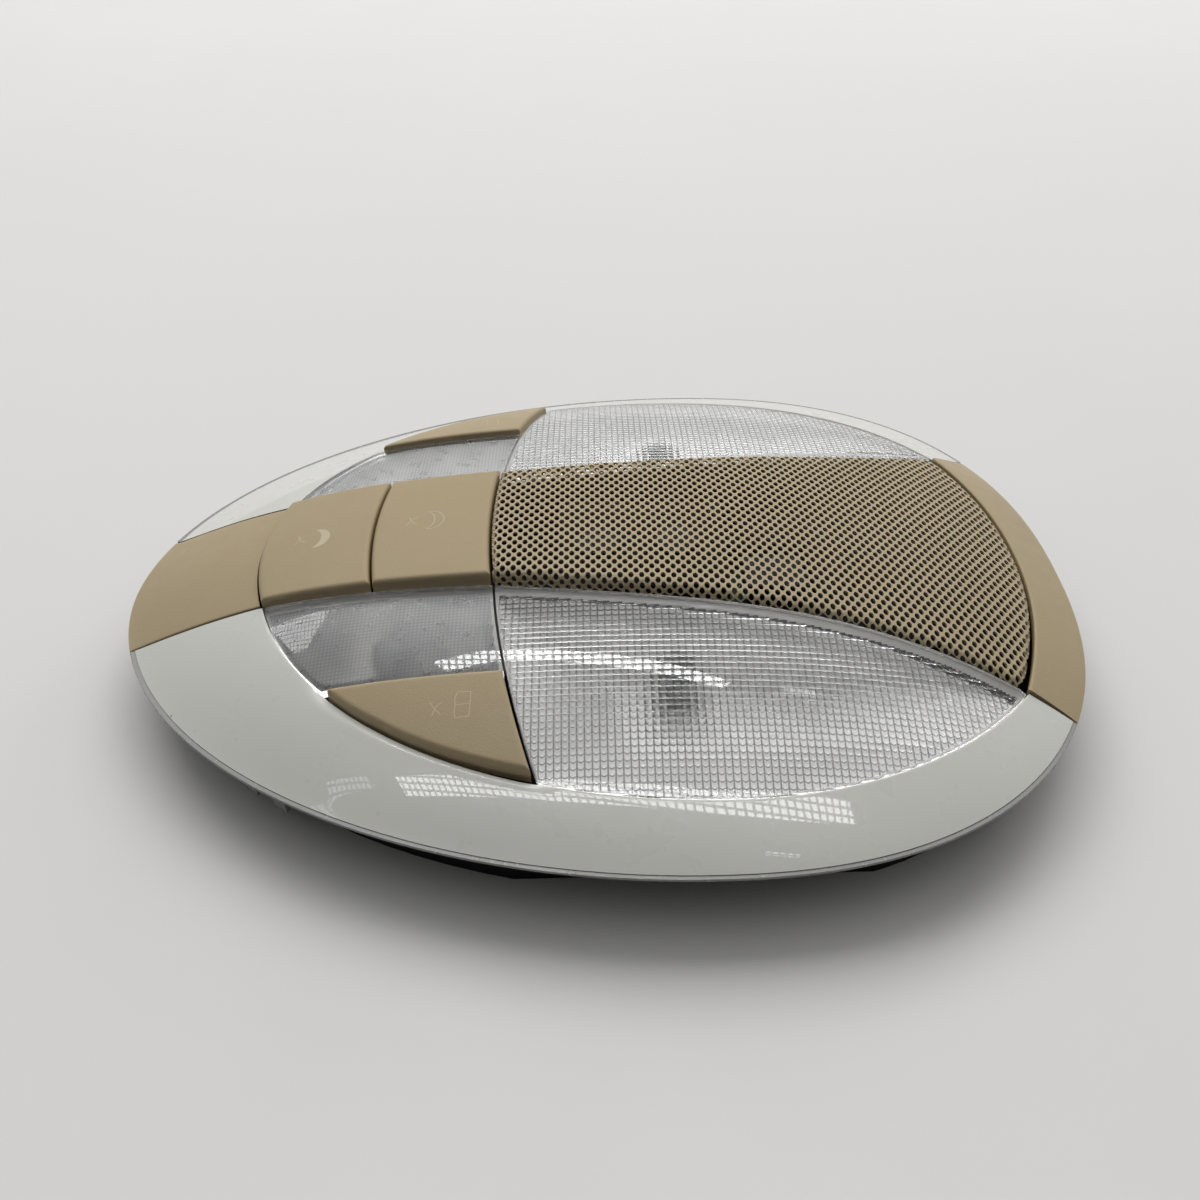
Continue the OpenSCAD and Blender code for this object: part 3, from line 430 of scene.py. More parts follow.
def lens_angle_at(x):
    """Angle of the point with this x on the inner edge of the ring."""
    return 90 + np.degrees(np.arcsin(((lens_mid - x) / lens_ahead) ** (lens_power / 2)))


def strip_half(x):
    """Half width of the centre strip: nearly straight at the buttons, wider along the grille."""
    d = np.maximum(0, x - grille_x)
    front = mix(strip_front_y, strip_mid_y, (x - cap_joint) / (grille_x - cap_joint))
    return np.where(x < grille_x, front, strip_mid_y + strip_spread * d + grille_curve * d ** 4)


seam_end_y = float(lens_point(lens_angle_at(seam_x1))[1])


def seam_x(y):
    """The slanted, slightly bowed joint between the reading lens and the dome lens."""
    w = (y - strip_mid_y) / (seam_end_y - strip_mid_y)
    return seam_x0 + seam_lean * w + seam_bow * w * (w - 1)


def dome_lens_plan(u, v):
    """Plan point of the dome lens: u runs to the rear, v from the strip to the ring."""
    gap, corner_back, corner_w = trim_gap / 2, 1.5, 1.2
    end_x = corner_x - corner_back
    end_y = float(strip_half(end_x)) + gap
    a0 = lens_angle_at(seam_x1 + trim_gap)
    a1 = lens_angle(end_y + corner_w, False)
    first_y = float(strip_half(seam_x0)) + gap
    last_x, last_y = lens_point(a0, lens_clear)
    x = mix(seam_x0 + gap, end_x, u)
    ox, oy = lens_point(mix(a0, a1, u), lens_clear)
    px, py = mix(x, ox, v), mix(strip_half(x) + gap, oy, v)
    pull = seam_x(mix(first_y, last_y, v)) + gap - mix(seam_x0 + gap, last_x, v)
    return px + (1 - u) ** 2 * pull, py


def reading_lens_plan(u, v):
    """Plan point of the reading lens, which ends at the reading button for most of its length."""
    gap, tip_w, turn_u = trim_gap / 2, 1.5, 0.34
    y0, y1 = float(strip_half(seam_x0)) + gap, reading_line_y - trim_gap
    a0, a1 = lens_angle(strip_front_y + gap + tip_w, True), lens_angle(y1, True)
    turn_x = lens_point(a1, lens_clear)[0]
    first_x = lens_point(a0, lens_clear)[0]
    back0, back1 = seam_x(y0) - gap, seam_x(y1) - gap
    x = mix(first_x, back0, u)
    ox, oy = lens_point(mix(a0, a1, np.minimum(1, u / turn_u)), lens_clear)
    t = (u - turn_u) / (1 - turn_u)
    ox, oy = np.where(u < turn_u, ox, mix(turn_x, back1, t)), np.where(u < turn_u, oy, y1)
    px, py = mix(x, ox, v), mix(strip_half(x) + gap, oy, v)
    return px + u * u * (seam_x(py) - gap - mix(back0, back1, v)), py


def lens_sides(plan, count=70):
    """The four sides of a lens: along the strip, its rear end, along the ring, its front end."""
    t = np.linspace(0, 1, count + 1)
    zero = np.zeros(count + 1)
    return [np.stack(s, -1) for s in (plan(t, zero), plan(zero + 1, t), plan(1 - t, zero + 1),
                                      plan(zero, 1 - t))]


def distance(points, line, closed=True):
    """Distance to a line, the nearest place on it, and which side is inside."""
    a, b = (line, np.roll(line, -1, axis=0)) if closed else (line[:-1], line[1:])
    best = np.full(len(points), 1e9)
    near = np.zeros_like(points)
    inside = np.zeros(len(points), bool)
    for p, q in zip(a, b):
        d = q - p
        if d @ d < 1e-12:
            continue
        t = np.clip(((points - p) @ d) / (d @ d), 0, 1)
        c = p + t[:, None] * d
        gap = np.linalg.norm(points - c, axis=1)
        closer = gap < best
        best[closer] = gap[closer]
        near[closer] = c[closer]
        if p[1] != q[1]:
            across = (p[1] > points[:, 1]) != (q[1] > points[:, 1])
            x = p[0] + (points[:, 1] - p[1]) * d[0] / d[1]
            inside ^= across & (points[:, 0] < x)
    return best, near, inside


def prism_plate(low, high, pitch, cuts, field_at, height):
    """Flat plate with pillow prisms below: fine grid under, coarse grid on top."""
    low = np.floor(low / pitch) * pitch
    nx, ny = (int(np.ceil((high[k] - low[k]) / pitch[k])) for k in (0, 1))
    x, y = np.meshgrid(low[0] + np.arange(nx * cuts + 1) * pitch[0] / cuts,
                       low[1] + np.arange(ny * cuts + 1) * pitch[1] / cuts, indexing="ij")
    a, b = (2 * (np.round((t - low[k]) * cuts / pitch[k]) % cuts / cuts) - 1
            for k, t in enumerate((x, y)))
    under = -(lens_t - height) - field_at(x, y) * height * (1 - (a * a + b * b) / 2)
    tx, ty = x[::cuts, ::cuts], y[::cuts, ::cuts]
    points = np.concatenate([np.stack([tx, ty, 0 * tx], -1).reshape(-1, 3),
                             np.stack([x, y, under], -1).reshape(-1, 3)])
    top = np.arange(tx.size).reshape(tx.shape)
    foot = np.arange(x.size).reshape(x.shape) + tx.size
    faces = np.stack([top[:-1, :-1], top[1:, :-1], top[1:, 1:], top[:-1, 1:]], -1)
    faces = faces.reshape(-1, 4).tolist()
    faces += np.stack([foot[:-1, 1:], foot[1:, 1:], foot[1:, :-1], foot[:-1, :-1]],
                      -1).reshape(-1, 4).tolist()
    for upper, lower in ((top[0], foot[0]), (top[-1], foot[-1]), (top[:, 0], foot[:, 0]),
                         (top[:, -1], foot[:, -1])):
        for k in range(len(upper) - 1):
            faces.append([upper[k], upper[k + 1]] + list(lower[k * cuts:(k + 1) * cuts + 1][::-1]))
    return points, [[int(q) for q in face] for face in faces]


def cut_to(plate, loop):
    """The part of a closed mesh inside an upright prism over a plan outline."""
    objects = []
    for points, faces in (plate, bar(loop, -6, 6)):
        mesh = bpy.data.meshes.new("part")
        mesh.from_pydata(np.asarray(points).tolist(), [], faces)
        finish_mesh(mesh, 30)
        objects.append(bpy.data.objects.new("part", mesh))
        scene.collection.objects.link(objects[-1])
    step = objects[0].modifiers.new("cut", "BOOLEAN")
    step.operation = "INTERSECT"
    step.solver = "MANIFOLD"
    step.object = objects[1]
    done = objects[0].evaluated_get(bpy.context.evaluated_depsgraph_get()).to_mesh()
    points = np.empty(len(done.vertices) * 3)
    done.vertices.foreach_get("co", points)
    faces = [list(poly.vertices) for poly in done.polygons]
    for o in objects:
        bpy.data.objects.remove(o)
    return points.reshape(-1, 3), faces


def smooth_top(mesh, points, outer, flip):
    """Shade the outside of a lens as the smooth dome that its faces stand for."""
    x, y = points[:, 0], points[:, 1]
    h = 0.05
    slope_x = (dome(x + h, y) - dome(x - h, y)) / (2 * h)
    slope_y = (dome(x, y + h) - dome(x, y - h)) / (2 * h)
    normal = np.stack([-slope_x, -slope_y * (-1 if flip else 1), np.ones(len(x))], -1)
    normal /= np.linalg.norm(normal, axis=1)[:, None]
    loops = []
    for polygon in mesh.polygons:
        corners = list(polygon.vertices)
        loops += normal[corners].tolist() if outer[corners].all() else [(0, 0, 0)] * len(corners)
    mesh.normals_split_custom_set(loops)


def lens_piece(name, plan, margins, pitch, cuts, height, look, flip, replaced):
    """Lens with a patterned field that stops a margin short of each of its four sides."""
    sides = lens_sides(plan)
    loop = np.concatenate([s[:-1] for s in sides])

    def field_at(x, y):
        flat = np.stack([x.ravel(), y.ravel()], -1)
        clear = np.full(len(flat), 1e9)
        for line, margin in zip(sides, margins):
            clear = np.minimum(clear, distance(flat, line, False)[0] - margin)
        inside = distance(flat, loop)[2]
        return smooth(np.where(inside, clear, 0) / field_fade).reshape(x.shape)

    points, faces = cut_to(prism_plate(loop.min(0) - 1, loop.max(0) + 1, pitch, cuts, field_at,
                                       height), loop)
    under = points[:, 2] < -0.5
    field = field_at(points[:, 0], points[:, 1])
    points[:, 2] += dome(points[:, 0], points[:, 1])
    piece = make(name, [(points, faces)], clear_look, "lamp", replaced, flip, 35)
    piece.data.materials.append(look)
    piece.data.materials.append(margin_look)
    for face, corners in zip(piece.data.polygons, faces):
        if under[corners].all():
            face.material_index = 1 if field[corners].mean() > 0.5 else 2
    outer = points[:, 2] > dome(points[:, 0], points[:, 1]) - 0.01
    smooth_top(piece.data, points, outer, flip)
    piece.visible_shadow = False


for flip, side in ((False, "left"), (True, "right")):
    lens_piece(side + "_prism_lens", dome_lens_plan, prism_margins, prism_cell, 4, prism_h,
               prism_look, flip, side + "_dome_lens")
    lens_piece(side + "_ribbed_lens", reading_lens_plan, linen_margins, linen_cell, 2, linen_h,
               linen_look, flip, side + "_reading_lens")

# Behind each lens lies a metallised plastic bowl that throws the light of its bulb forward.
# The dome light bowls are bright and the reading light bowls darker. Each has a bulb hole.
chrome_look = surface("metallised", (0.63, 0.625, 0.615), 0.55, metal=0.6, mottle=0.03)
dark_chrome_look = surface("metallised_dark", (0.36, 0.355, 0.345), 0.3, metal=0.9, mottle=0.04)
bowl_floor_z = 13.8
bowl_wall = 1.2
bowl_gap = 0.3
bowl_flat = 0.4
bulb_hole_r = 6.6
# share of the lens length that a bowl takes up, and its deepest place within that share
dome_share, dome_deepest = (0.006, 0.95), (0.36, 0.34)
reading_share, reading_deepest = (0.08, 0.95), (0.5, 0.48)
dome_rim_margin, reading_rim_margin = 0.8, 2.8
dome_bulb = (17.8, 41)
reading_bulb = (-48.4, 33)


def open_hole(points, faces, hole, centre, r):
    """Cut a round hole through a shell: its grid points inside move out to the edge."""
    drop = {k for k, face in enumerate(faces) if hole[face].all()}
    kept = [face for k, face in enumerate(faces) if k not in drop]
    edges = {}
    for face in kept:
        for a, b in zip(face, face[1:] + face[:1]):
            edges[(a, b)] = True
    open_edges = [(b, a) for a, b in edges if (b, a) not in edges]
    flat = points[:, :2] - centre
    for k in {q for edge in open_edges for q in edge}:
        points[k, :2] = centre + flat[k] * r / np.linalg.norm(flat[k])
    half = len(points) // 2
    kept += [[a, b, b + half, a + half] for a, b in open_edges if a < half and b < half]
    return points, kept


def bowl(plan, rim_margin, share, centre, bulb, look, replaced, name, flip):
    """Bowl under a share of a lens plan. It draws back from the strip towards its rear end."""
    u, v = np.meshgrid(np.linspace(0, 1, 49), np.linspace(0, 1, 41), indexing="ij")
    w = mix(share[0], share[1], u)
    x0, y0 = plan(w, np.zeros_like(w))
    x1, y1 = plan(w, np.ones_like(w))
    width = np.hypot(x1 - x0, y1 - y0)
    margin, rear_extra = 2.8, 2.4
    strip_margin = margin + rear_extra * smooth((w - 0.7) / 0.15)
    x, y = plan(w, mix(strip_margin / width, 1 - rim_margin / width, v))
    eu = np.abs(u - centre[0]) / np.where(u < centre[0], centre[0], 1 - centre[0])
    ev = np.abs(v - centre[1]) / np.where(v < centre[1], centre[1], 1 - centre[1])
    reach = np.maximum(eu, ev)
    rise = np.clip((reach - bowl_flat) / (1 - bowl_flat), 0, 1) ** 1.4
    top = mix(bowl_floor_z, dome(x, y) - lens_t - bowl_gap, rise)
    points, faces = shell(x, y, top, top - bowl_wall)
    hole = np.hypot(points[:, 0] - bulb[0], points[:, 1] - bulb[1]) < bulb_hole_r
    make(name, [open_hole(points, faces, hole, bulb, bulb_hole_r)], look, "lamp",
         replaced, flip)


for flip, side in ((False, "left"), (True, "right")):
    bowl(dome_lens_plan, dome_rim_margin, dome_share, dome_deepest, dome_bulb, chrome_look,
         side + "_dome_reflector", side + "_dome_bowl", flip)
    bowl(reading_lens_plan, reading_rim_margin, reading_share, reading_deepest, reading_bulb,
         dark_chrome_look, side + "_reading_reflector", side + "_reading_bowl", flip)

# The front cap and the crescent-shaped rear cap close the ends of the centre strip. They are
# beige satin plastic with a fine grain, like the buttons, and snap in with hooks.
beige_look = surface("beige_plastic", (0.385, 0.3, 0.175), 0.42, mottle=0.02, mottle_size=40,
                     grain=0.35, grain_size=2600, specks={"scale": 60, "radius": 0.006})
trim_t = 1.8
front_cap_w, front_cap_joint_w = 43, 39.8
front_bow = 3.6
front_hooks, rear_hooks = (176, 184), (-17, 17)
rear_cap_joint_w, rear_cap_w = 92.6, 103


def rim_front_x(y):
    return wide_x - front_l * (1 - (np.abs(y) / half_w) ** front_power) ** (1 / front_power)


def rim_rear_x(y):
    return wide_x + rear_l * (1 - (np.abs(y) / half_w) ** rear_power) ** (1 / rear_power)


def edge_distance(x, y, along_u=True, along_v=True):
    """Distance of every grid point from the nearest side of its patch."""
    best = np.full(x.shape, 1e9)
    for axis, wanted in ((0, along_u), (1, along_v)):
        if wanted:
            step = np.hypot(np.diff(x, axis=axis), np.diff(y, axis=axis))
            pad = [(1, 0) if k == axis else (0, 0) for k in (0, 1)]
            run = np.cumsum(np.pad(step, pad), axis=axis)
            end = np.take(run, [-1], axis=axis)
            best = np.minimum(best, np.minimum(run, end - run))
    return best


def rows(length, cuts, count):
    """Grid lines from 0 to 1, close together at the given distances from both ends."""
    e = np.array(cuts) / length
    middle = mix(e[-1], 1 - e[-1], np.arange(1, count) / count)
    return np.concatenate([[0], e, middle, 1 - e[::-1], [1]])


def front_cap_part():
    """Front cap: u runs from the tip back to the joint, v across."""
    length, width, lift, side_r = 35, 40, 0.1, 0.4
    u, v = np.meshgrid(rows(length, (0.15, 0.4, 0.8), 30), rows(width, (0.1, 0.25, 0.5), 30),
                       indexing="ij")
    s = 2 * v - 1
    y = s * (mix(front_cap_w, front_cap_joint_w, u) - trim_gap) / 2
    tip = rim_front_x(s * (front_cap_w - trim_gap) / 2)
    x = mix(tip, cap_joint + front_bow * s * s - trim_gap / 2, u)
    side = rolled(edge_distance(x, y, False), side_r) * smooth(u * 9)
    top = dome(x, y) + lift * smooth(u * 4) - side
    return shell(x, y, top, np.maximum(dome(x, y) - trim_t, rim_z - skin_foot))


def rear_cap_part():
    """Rear cap: u runs from the joint to the rim, v across. Its front edge stands up a little."""
    length, lift, front_r = 12, 0.9, 0.8
    u, v = np.meshgrid(rows(length, (0.08, 0.2, 0.4, 0.7, 1.1), 14), np.linspace(0, 1, 61),
                       indexing="ij")
    s = 2 * v - 1
    y = s * (mix(rear_cap_joint_w, rear_cap_w, u) - trim_gap) / 2
    front = rear_joint - rear_bow * s * s + trim_gap / 2
    x = mix(front, rim_rear_x(s * (rear_cap_w - trim_gap) / 2), u)
    top = dome(x, y) + lift * (1 - u) - rolled(np.hypot(x - front, 0), front_r)
    return shell(x, y, top, np.maximum(dome(x, y) - trim_t, rim_z - skin_foot))


make("front_end_cap", [front_cap_part()] + [p for a in front_hooks for p in rim_hook(a)],
     beige_look, "lamp", "front_cap")
make("rear_end_cap", [rear_cap_part()] + [p for a in rear_hooks for p in rim_hook(a)],
     beige_look, "lamp", "rear_cap")

# Four push buttons of the same plastic stand proud of the dome. Each has rounded upper
# edges, a skirt, two guide posts and a plunger over its switch pad.
button_joint = -55.2
button_bow, grille_bow = 1.9, 1.2
button_w = 40
skirt_w, skirt_h = 1.75, 2.3
post_y = 11
proud_front, proud_mid, proud_rear = 2.0, 3.3, 0.6
reading_proud = 1.8
edge_r = 1.1
edge_cuts = (0.06, 0.16, 0.32, 0.55, 0.8, edge_r, 1.6, 1.9)
post_r, post_foot_r, plunger_r = 2.2, 2.7, 2.6
post_z, post_foot_z, plunger_z = 14.4, 15.9, 15.6


def strip_proud(x):
    """How far the centre strip stands over the dome."""
    front = mix(proud_front, proud_mid, np.clip((x - cap_joint) / (grille_x - cap_joint), 0, 1))
    return np.where(x < grille_x, front,
                    mix(proud_mid, proud_rear, smooth((x - grille_x) / (0.8 * grille_run))))


def rod(x, y, r, low, high, count=24):
    """Upright round rod."""
    t = np.arange(count) * 2 * np.pi / count
    return bar(np.stack([x + r * np.cos(t), y + r * np.sin(t)], -1), low, high)


def button_part(x, y, proud, nose=0.0):
    """Top of a button, hollow inside its skirt but for its solid nose."""
    edge = edge_distance(x, y)
    height = dome(x, y)
    top = height + proud - rolled(edge, edge_r)
    hollow = (edge > skirt_w) & (np.linspace(0, 1, len(x))[:, None] > nose)
    return shell(x, y, top, np.where(hollow, height + proud - trim_t, height - skirt_h))


def posts(guides, plunger, proud):
    """Guide posts with thicker feet, and the plunger, below the top of a button."""
    parts = []
    for px, py in guides:
        root = float(dome(px, py)) + proud - trim_t / 2
        parts += [rod(px, py, post_r, post_z, root),
                  rod(px, py, post_foot_r, post_z, post_foot_z)]
    root = float(dome(*plunger)) + proud - trim_t / 2
    return parts + [rod(plunger[0], plunger[1], plunger_r, plunger_z, root)]


def centre_button(name, x0, bow0, x1, bow1, mid_x, body, replaced):
    u, v = np.meshgrid(rows(x1 - x0, edge_cuts, 12), rows(button_w, edge_cuts, 16),
                       indexing="ij")
    s = 2 * v - 1
    x = mix(x0 + bow0 * s * s + trim_gap / 2, x1 + bow1 * s * s - trim_gap / 2, u)
    y = s * (strip_half(x) - trim_gap / 2)
    proud = float(strip_proud(mid_x))
    make(name, [button_part(x, y, strip_proud(x))] + posts([(mid_x, -post_y), (mid_x, post_y)],
         (mid_x, 0), proud), beige_look, body, replaced)


front_mid = (cap_joint + button_joint) / 2 + 1
rear_mid = (button_joint + grille_x) / 2
centre_button("front_push_button", cap_joint, front_bow, button_joint, button_bow, front_mid,
              "front_key", "front_button")
centre_button("rear_push_button", button_joint, button_bow, grille_x, grille_bow, rear_mid,
              "rear_key", "rear_button")


def reading_button(name, flip, body, replaced):
    """Pointed button between the reading lens and the ring, solid at its tip."""
    tip_inset, end_inset, nose = 0.5, 1.6, 0.15
    a0, a1 = lens_angle(reading_line_y + 1, True), lens_angle_at(seam_x1)
    tip_x = lens_point(a0, tip_inset)[0]
    end_x, end_y = lens_point(a1, end_inset)
    u, v = np.meshgrid(rows(seam_x1 - tip_x, edge_cuts, 30),
                       rows((end_y - reading_line_y) * 0.7, edge_cuts, 10), indexing="ij")
    last = float(seam_x(reading_line_y)) - trim_gap
    ox, oy = lens_point(mix(a0, a1, u), mix(tip_inset, end_inset, np.clip(u * 3, 0, 1)))
    x, y = mix(mix(tip_x, last, u), ox, v), mix(reading_line_y, oy, v)
    x = x + u * (seam_x(y) - trim_gap - mix(last, end_x, v))
    guides = [(seam_x0 - 19, 53), (seam_x0 + 1.8, 61.5)]
    plunger = (seam_x0 - 7.5, 55.5)
    make(name, [button_part(x, y, reading_proud, nose)] + posts(guides, plunger, reading_proud),
         beige_look, body, replaced, flip)


reading_button("left_reading_key", False, "left_key", "left_reading_button")
reading_button("right_reading_key", True, "right_key", "right_reading_button")

# Plain pictograms are printed on the buttons: a filled moon and an outlined moon on the
# centre buttons, and an open book on each reading button, each beside two crossed strokes.
print_look = surface("print_ink", (0.52, 0.44, 0.31), 0.5, mottle=0.03)
stroke_w = 0.22
print_lift, print_t = 0.02, 0.3
filled_moon, outlined_moon, moon_size = (-69.8, -1.2), (-41.2, 0.4), 3.6
filled_cross, outlined_cross, book_cross = (-73.9, -0.6), (-45.6, 0.6), (-35.2, 56)


def button_top(x, y, centre):
    """Height of the print on a centre button or a reading button."""
    return dome(x, y) + (strip_proud(x) if centre else reading_proud) + print_lift


def ribbon(line, width, centre, closed=True):
    """Thin raised line along plan points, filled in so that its corners stay whole."""
    line = np.asarray(line, float)
    run = np.concatenate([line, line[:1]]) if closed else line
    far = np.concatenate([[0], np.cumsum(np.linalg.norm(np.diff(run, axis=0), axis=1))])
    at = np.linspace(0, far[-1], int(far[-1] / 0.18) + 2)[:-1 if closed else None]
    line = np.stack([np.interp(at, far, run[:, k]) for k in (0, 1)], -1)
    ahead, behind = np.roll(line, -1, 0), np.roll(line, 1, 0)
    if not closed:
        ahead[-1], behind[0] = line[-1], line[0]
    way = ahead - behind
    way /= np.linalg.norm(way, axis=1)[:, None]
    off = np.stack([-way[:, 1], way[:, 0]], -1) * width / 2
    grid = np.stack([line - off, line + off], 1)
    if closed:
        grid = np.concatenate([grid, grid[:1]])
    x, y = grid[..., 0], grid[..., 1]
    z = button_top(x, y, centre)
    return shell(x, y, z, z - print_t)


def crossed(cx, cy, centre, size=1.5):
    """Small generic mark: two bent strokes that cross."""
    strokes = [[(-0.9, -1), (-0.1, 0.1), (-0.5, 1.1)], [(0.9, -0.9), (-0.2, 0), (0.8, 1)]]
    return [ribbon([(cx + size * x, cy + size * y) for x, y in stroke], stroke_w, centre, False)
            for stroke in strokes]


def moon(cx, cy, size):
    """Outer and inner arc of a crescent."""
    t = np.radians(np.linspace(-100, 100, 25))
    outer = np.stack([cx + size * np.cos(t), cy + size * np.sin(t)], -1)
    w = np.radians(np.linspace(62, -62, 19))
    inner = np.stack([cx - 0.62 * size + 0.98 * size * np.cos(w), cy + 1.1 * size * np.sin(w)], -1)
    return outer, inner


outer, inner = moon(*filled_moon, moon_size)
strip_in = np.stack([np.interp(np.linspace(0, 1, 25), np.linspace(0, 1, 19), inner[::-1, k])
                     for k in (0, 1)], -1)
grid = np.stack([outer, strip_in], 1)
z = button_top(grid[..., 0], grid[..., 1], True)
make("moon_mark", [shell(grid[..., 0], grid[..., 1], z, z - print_t)]
     + crossed(*filled_cross, True), print_look, "front_key", None)
outer, inner = moon(*outlined_moon, moon_size)
make("moon_outline_mark", [ribbon(np.concatenate([outer[1:-1], inner]), stroke_w, True)]
     + crossed(*outlined_cross, True), print_look, "rear_key", None)
book = [(-27.6, 52.8), (-30.6, 52.7), (-31.1, 54.2), (-30.9, 55.6), (-31.1, 57), (-30.8, 58.5),
        (-27.8, 58.4)]
for flip, side in ((False, "left"), (True, "right")):
    make(side + "_book_mark", [ribbon(book, stroke_w, False),
                               ribbon([(-30.9, 55.6), (-27.7, 55.6)], stroke_w, False, False)]
         + crossed(*book_cross, False), print_look, side + "_key", None, flip)

# The grille is thin punched sheet, painted beige, with its edges folded down: gently along its
# sides and sharply at its ends. The staggered oval holes run on over the folds.
grille_look = surface("grille_paint", (0.42, 0.34, 0.215), 0.42, mottle=0.04, grain=0.2)
pitch_x, pitch_y = 2.5, 1.5
cell_low, cell_high = 0.229, 1.2708
sheet_t = 0.5
hole_rx, hole_ry = 0.64, 0.9
fold_end, fold_side = 1.0, 2.4
fold_drop = 0.6


def grille_loop(end_inset, inset):
    """Plan outline of the flat part of the sheet, inset from its ends and its sides."""
    s = np.linspace(-1, 1, 80, endpoint=False)

    def cross(x, bow, s, shift):
        px = x + bow * s * s + shift
        return np.stack([px, s * (strip_half(np.minimum(px, corner_x)) - inset)], -1)

    front = cross(grille_x, grille_bow, -s, end_inset)
    rear = cross(rear_joint, -rear_bow, s, -end_inset)
    t = np.linspace(0, 1, 120, endpoint=False)
    x = mix(front[-1][0], rear[0][0], t)
    side = np.stack([x, -(strip_half(x) - inset)], -1)
    return np.concatenate([front[1:], side, rear[1:], (side * (1, -1))[::-1]])


def grille_part():
    """Six-sided cells with a hole in each, laid over the dome and bent down past the edge."""
    half = pitch_x / 2
    corners = np.array([(half, -cell_low), (half, cell_low), (0, cell_high), (-half, cell_low),
                        (-half, -cell_low), (0, -cell_high)])
    turn = np.degrees(np.arctan2(corners[:, 1], corners[:, 0]))
    holes = []
    ring = []
    for k in range(6):
        a, b = turn[k], turn[(k + 1) % 6]
        b += 360 if b < a else 0
        n = 1 if b - a < 40 else 3
        ring.append((len(holes), n))
        holes += [np.radians(mix(a, b, i / n)) for i in range(n)]
    rim = np.stack([hole_rx * np.cos(holes), hole_ry * np.sin(holes)], -1)
    loop = grille_loop(trim_gap / 2 + fold_end, trim_gap / 2 + fold_side)
    j, i = np.meshgrid(np.arange(-36, 37), np.arange(-4, 62), indexing="ij")
    centres = np.stack([grille_x + pitch_x * (i + 0.5 * (j % 2)), pitch_y * j], -1).reshape(-1, 2)
    gap, near, inside = distance(centres, loop)
    across = (centres - near)[:, 1] / np.maximum(gap, 1e-9)
    reach = mix(fold_end, fold_side, across ** 2) * (np.pi / 2 - 1) + strip_proud(near[:, 0])
    centres = centres[inside | (gap < reach + fold_drop)]
    total = len(rim) + 6
    flat = (centres[:, None, :] + np.concatenate([rim, corners])[None]).reshape(-1, 2)
    near_enough = 0.02
    first, which = np.unique(np.round(flat / near_enough).astype(int), axis=0,
                             return_index=True, return_inverse=True)[1:]
    which = which.ravel()
    flat = flat[first]
    faces = []
    for c in range(len(centres)):
        base = c * total
        for k, (start, n) in enumerate(ring):
            arc = [base + (start + m) % len(rim) for m in range(n + 1)]
            edge = [base + len(rim) + k, base + len(rim) + (k + 1) % 6]
            faces.append([int(which[q]) for q in edge + arc[::-1]])
    gap, near, inside = distance(flat, loop)
    out = np.where(inside, 0, gap)
    way = np.where(inside[:, None], 0, (flat - near) / np.maximum(gap, 1e-9)[:, None])
    fold = mix(fold_end, fold_side, way[:, 1] ** 2)
    bend = np.minimum(out / fold, np.pi / 2)
    plan = np.where(inside[:, None], flat, near + way * (fold * np.sin(bend))[:, None])
    down = fold * (1 - np.cos(bend)) + np.maximum(0, out - fold * np.pi / 2)
    z = dome(plan[:, 0], plan[:, 1]) + strip_proud(plan[:, 0]) - down
    return np.concatenate([plan, z[:, None]], 1), faces


points, faces = grille_part()
mesh = bpy.data.meshes.new("punched_grille")
mesh.from_pydata((points * 0.001).tolist(), [], faces)
bm = bmesh.new()
bm.from_mesh(mesh)
bmesh.ops.recalc_face_normals(bm, faces=bm.faces)
if sum(f.normal.z for f in bm.faces) < 0:
    bmesh.ops.reverse_faces(bm, faces=bm.faces)
bm.to_mesh(mesh)
bm.free()
sheet = bpy.data.objects.new("sheet", mesh)
scene.collection.objects.link(sheet)
wall = sheet.modifiers.new("wall", "SOLIDIFY")
wall.thickness = sheet_t * 0.001
wall.offset = -1
done = sheet.evaluated_get(bpy.context.evaluated_depsgraph_get())
mesh = bpy.data.meshes.new_from_object(done)
bpy.data.objects.remove(sheet)
mesh.shade_smooth()
mesh.set_sharp_from_angle(angle=np.radians(40))
mesh.materials.clear()
mesh.materials.append(grille_look)
grille = bpy.data.objects.new("punched_grille", mesh)
scene.collection.objects.link(grille)
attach(grille, "lamp")
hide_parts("grille")

# The lamp lies on a pale table, in soft light from above and behind. Six gridded ceiling panels
# show as reflections along the ring and on the lenses, and don't light the table.
table_look = surface("table", (0.70, 0.69, 0.675), 0.55, mottle=0.01, mottle_size=4)
mesh = bpy.data.meshes.new("table")
mesh.from_pydata([(-3, -3, 0), (3, -3, 0), (3, 3, 0), (-3, 3, 0)], [], [[0, 1, 2, 3]])
mesh.materials.append(table_look)
table = bpy.data.objects.new("table", mesh)
scene.collection.objects.link(table)

world = bpy.data.worlds.new("room")
scene.world = world
world.use_nodes = True
sky = world.node_tree
sky.nodes["Background"].inputs["Color"].default_value = (0.99, 1.0, 1.0, 1)
toward = sky.nodes.new("ShaderNodeVectorMath")
toward.operation = "DOT_PRODUCT"
toward.inputs[1].default_value = (0.15, 0.95, 1)
sky.links.new(sky.nodes.new("ShaderNodeTexCoord").outputs["Generated"], toward.inputs[0])
level = sky.nodes.new("ShaderNodeMapRange")
level.inputs["From Min"].default_value = -0.2
level.inputs["From Max"].default_value = 1.1
level.inputs["To Min"].default_value = 0.02
level.inputs["To Max"].default_value = 0.66
sky.links.new(toward.outputs["Value"], level.inputs["Value"])
sky.links.new(level.outputs["Result"], sky.nodes["Background"].inputs["Strength"])


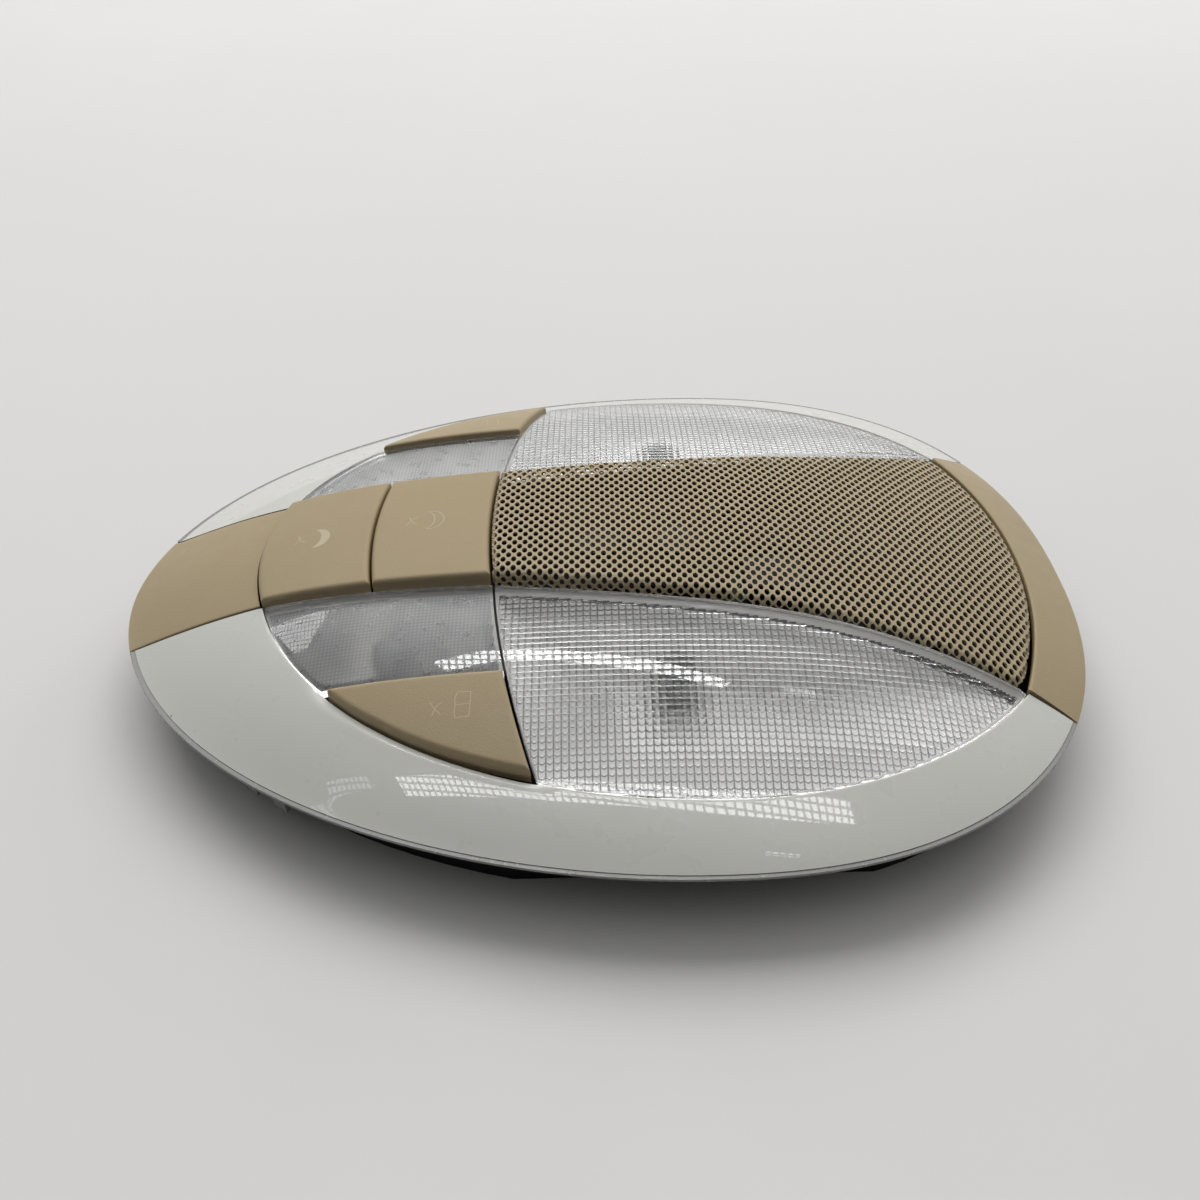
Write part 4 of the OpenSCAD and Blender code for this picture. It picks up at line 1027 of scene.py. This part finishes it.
def panel(name, path, width, bright):
    """Ceiling panel along a path that shines through a grid of small openings."""
    grid_x, grid_y, bar_share, glow_share = 0.034, 0.06, 0.3, 0.12
    path = np.array(path)
    way = np.gradient(path, axis=0)
    off = np.stack([-way[:, 1], way[:, 0]], -1) / np.linalg.norm(way, axis=1)[:, None]
    off *= np.reshape(width, (-1, 1)) / 2
    points = [(x, y, ceiling) for x, y in np.concatenate([path - off, path + off])]
    n = len(path)
    mesh = bpy.data.meshes.new(name)
    mesh.from_pydata(points, [], [[k, n + k, n + k + 1, k + 1] for k in range(n - 1)])
    look = bpy.data.materials.new(name)
    look.use_nodes = True
    tree = look.node_tree
    tree.nodes.clear()
    glow = tree.nodes.new("ShaderNodeEmission")
    split = tree.nodes.new("ShaderNodeSeparateXYZ")
    tree.links.new(tree.nodes.new("ShaderNodeTexCoord").outputs["Object"], split.inputs[0])
    open_x, open_y = (chain(tree, split.outputs[axis], (("DIVIDE", pitch), ("FRACT", 0),
                                                        ("GREATER_THAN", bar_share)))
                      for axis, pitch in (("X", grid_x), ("Y", grid_y)))
    both = chain(tree, open_x, (("MULTIPLY", open_y), ("MULTIPLY", (1 - glow_share) * bright),
                                ("ADD", glow_share * bright)))
    tree.links.new(both, glow.inputs["Strength"])
    out = tree.nodes.new("ShaderNodeOutputMaterial")
    tree.links.new(glow.outputs[0], out.inputs["Surface"])
    mesh.materials.append(look)
    lamp = bpy.data.objects.new(name, mesh)
    lamp.visible_diffuse = False
    scene.collection.objects.link(lamp)


def area(name, where, size, power):
    """Soft window light aimed at the lamp, not seen in the glossy pieces."""
    data = bpy.data.lights.new(name, "AREA")
    data.shape = "RECTANGLE"
    data.size, data.size_y = size
    data.energy = power
    light = bpy.data.objects.new(name, data)
    light.location = where
    light.rotation_euler = (-Vector(where)).to_track_quat("-Z", "Y").to_euler()
    light.visible_glossy = False
    scene.collection.objects.link(light)


area("window", (-0.1, 1.3, 1.7), (2.4, 1.3), power=36)
area("right_window", (1.25, 1.65, 0.8), (0.7, 0.5), power=5)
ceiling = 1.9
panel("near_panel", [(-1.101, -0.5), (0.841, -0.32)], 0.18, bright=9)
panel("soft_panel", [(-1.58, -0.5), (-1.28, -0.47)], 0.12, bright=3)
panel("far_panel", [(-0.65, 0.70), (-0.44, 0.83), (-0.22, 0.85), (-0.04, 0.80), (0.17, 0.69),
                    (0.39, 0.52)], [0.12, 0.12, 0.12, 0.12, 0.1, 0.06], bright=18)
panel("corner_panel", [(-1.58, 1.42), (-1.53, 0.95)], [0.6, 0.12], bright=7)
panel("side_panel", [(0.625, 0.5), (0.775, 0.5)], 0.05, bright=8)
panel("low_panel", [(0.425, -0.71), (0.575, -0.71)], 0.03, bright=8)
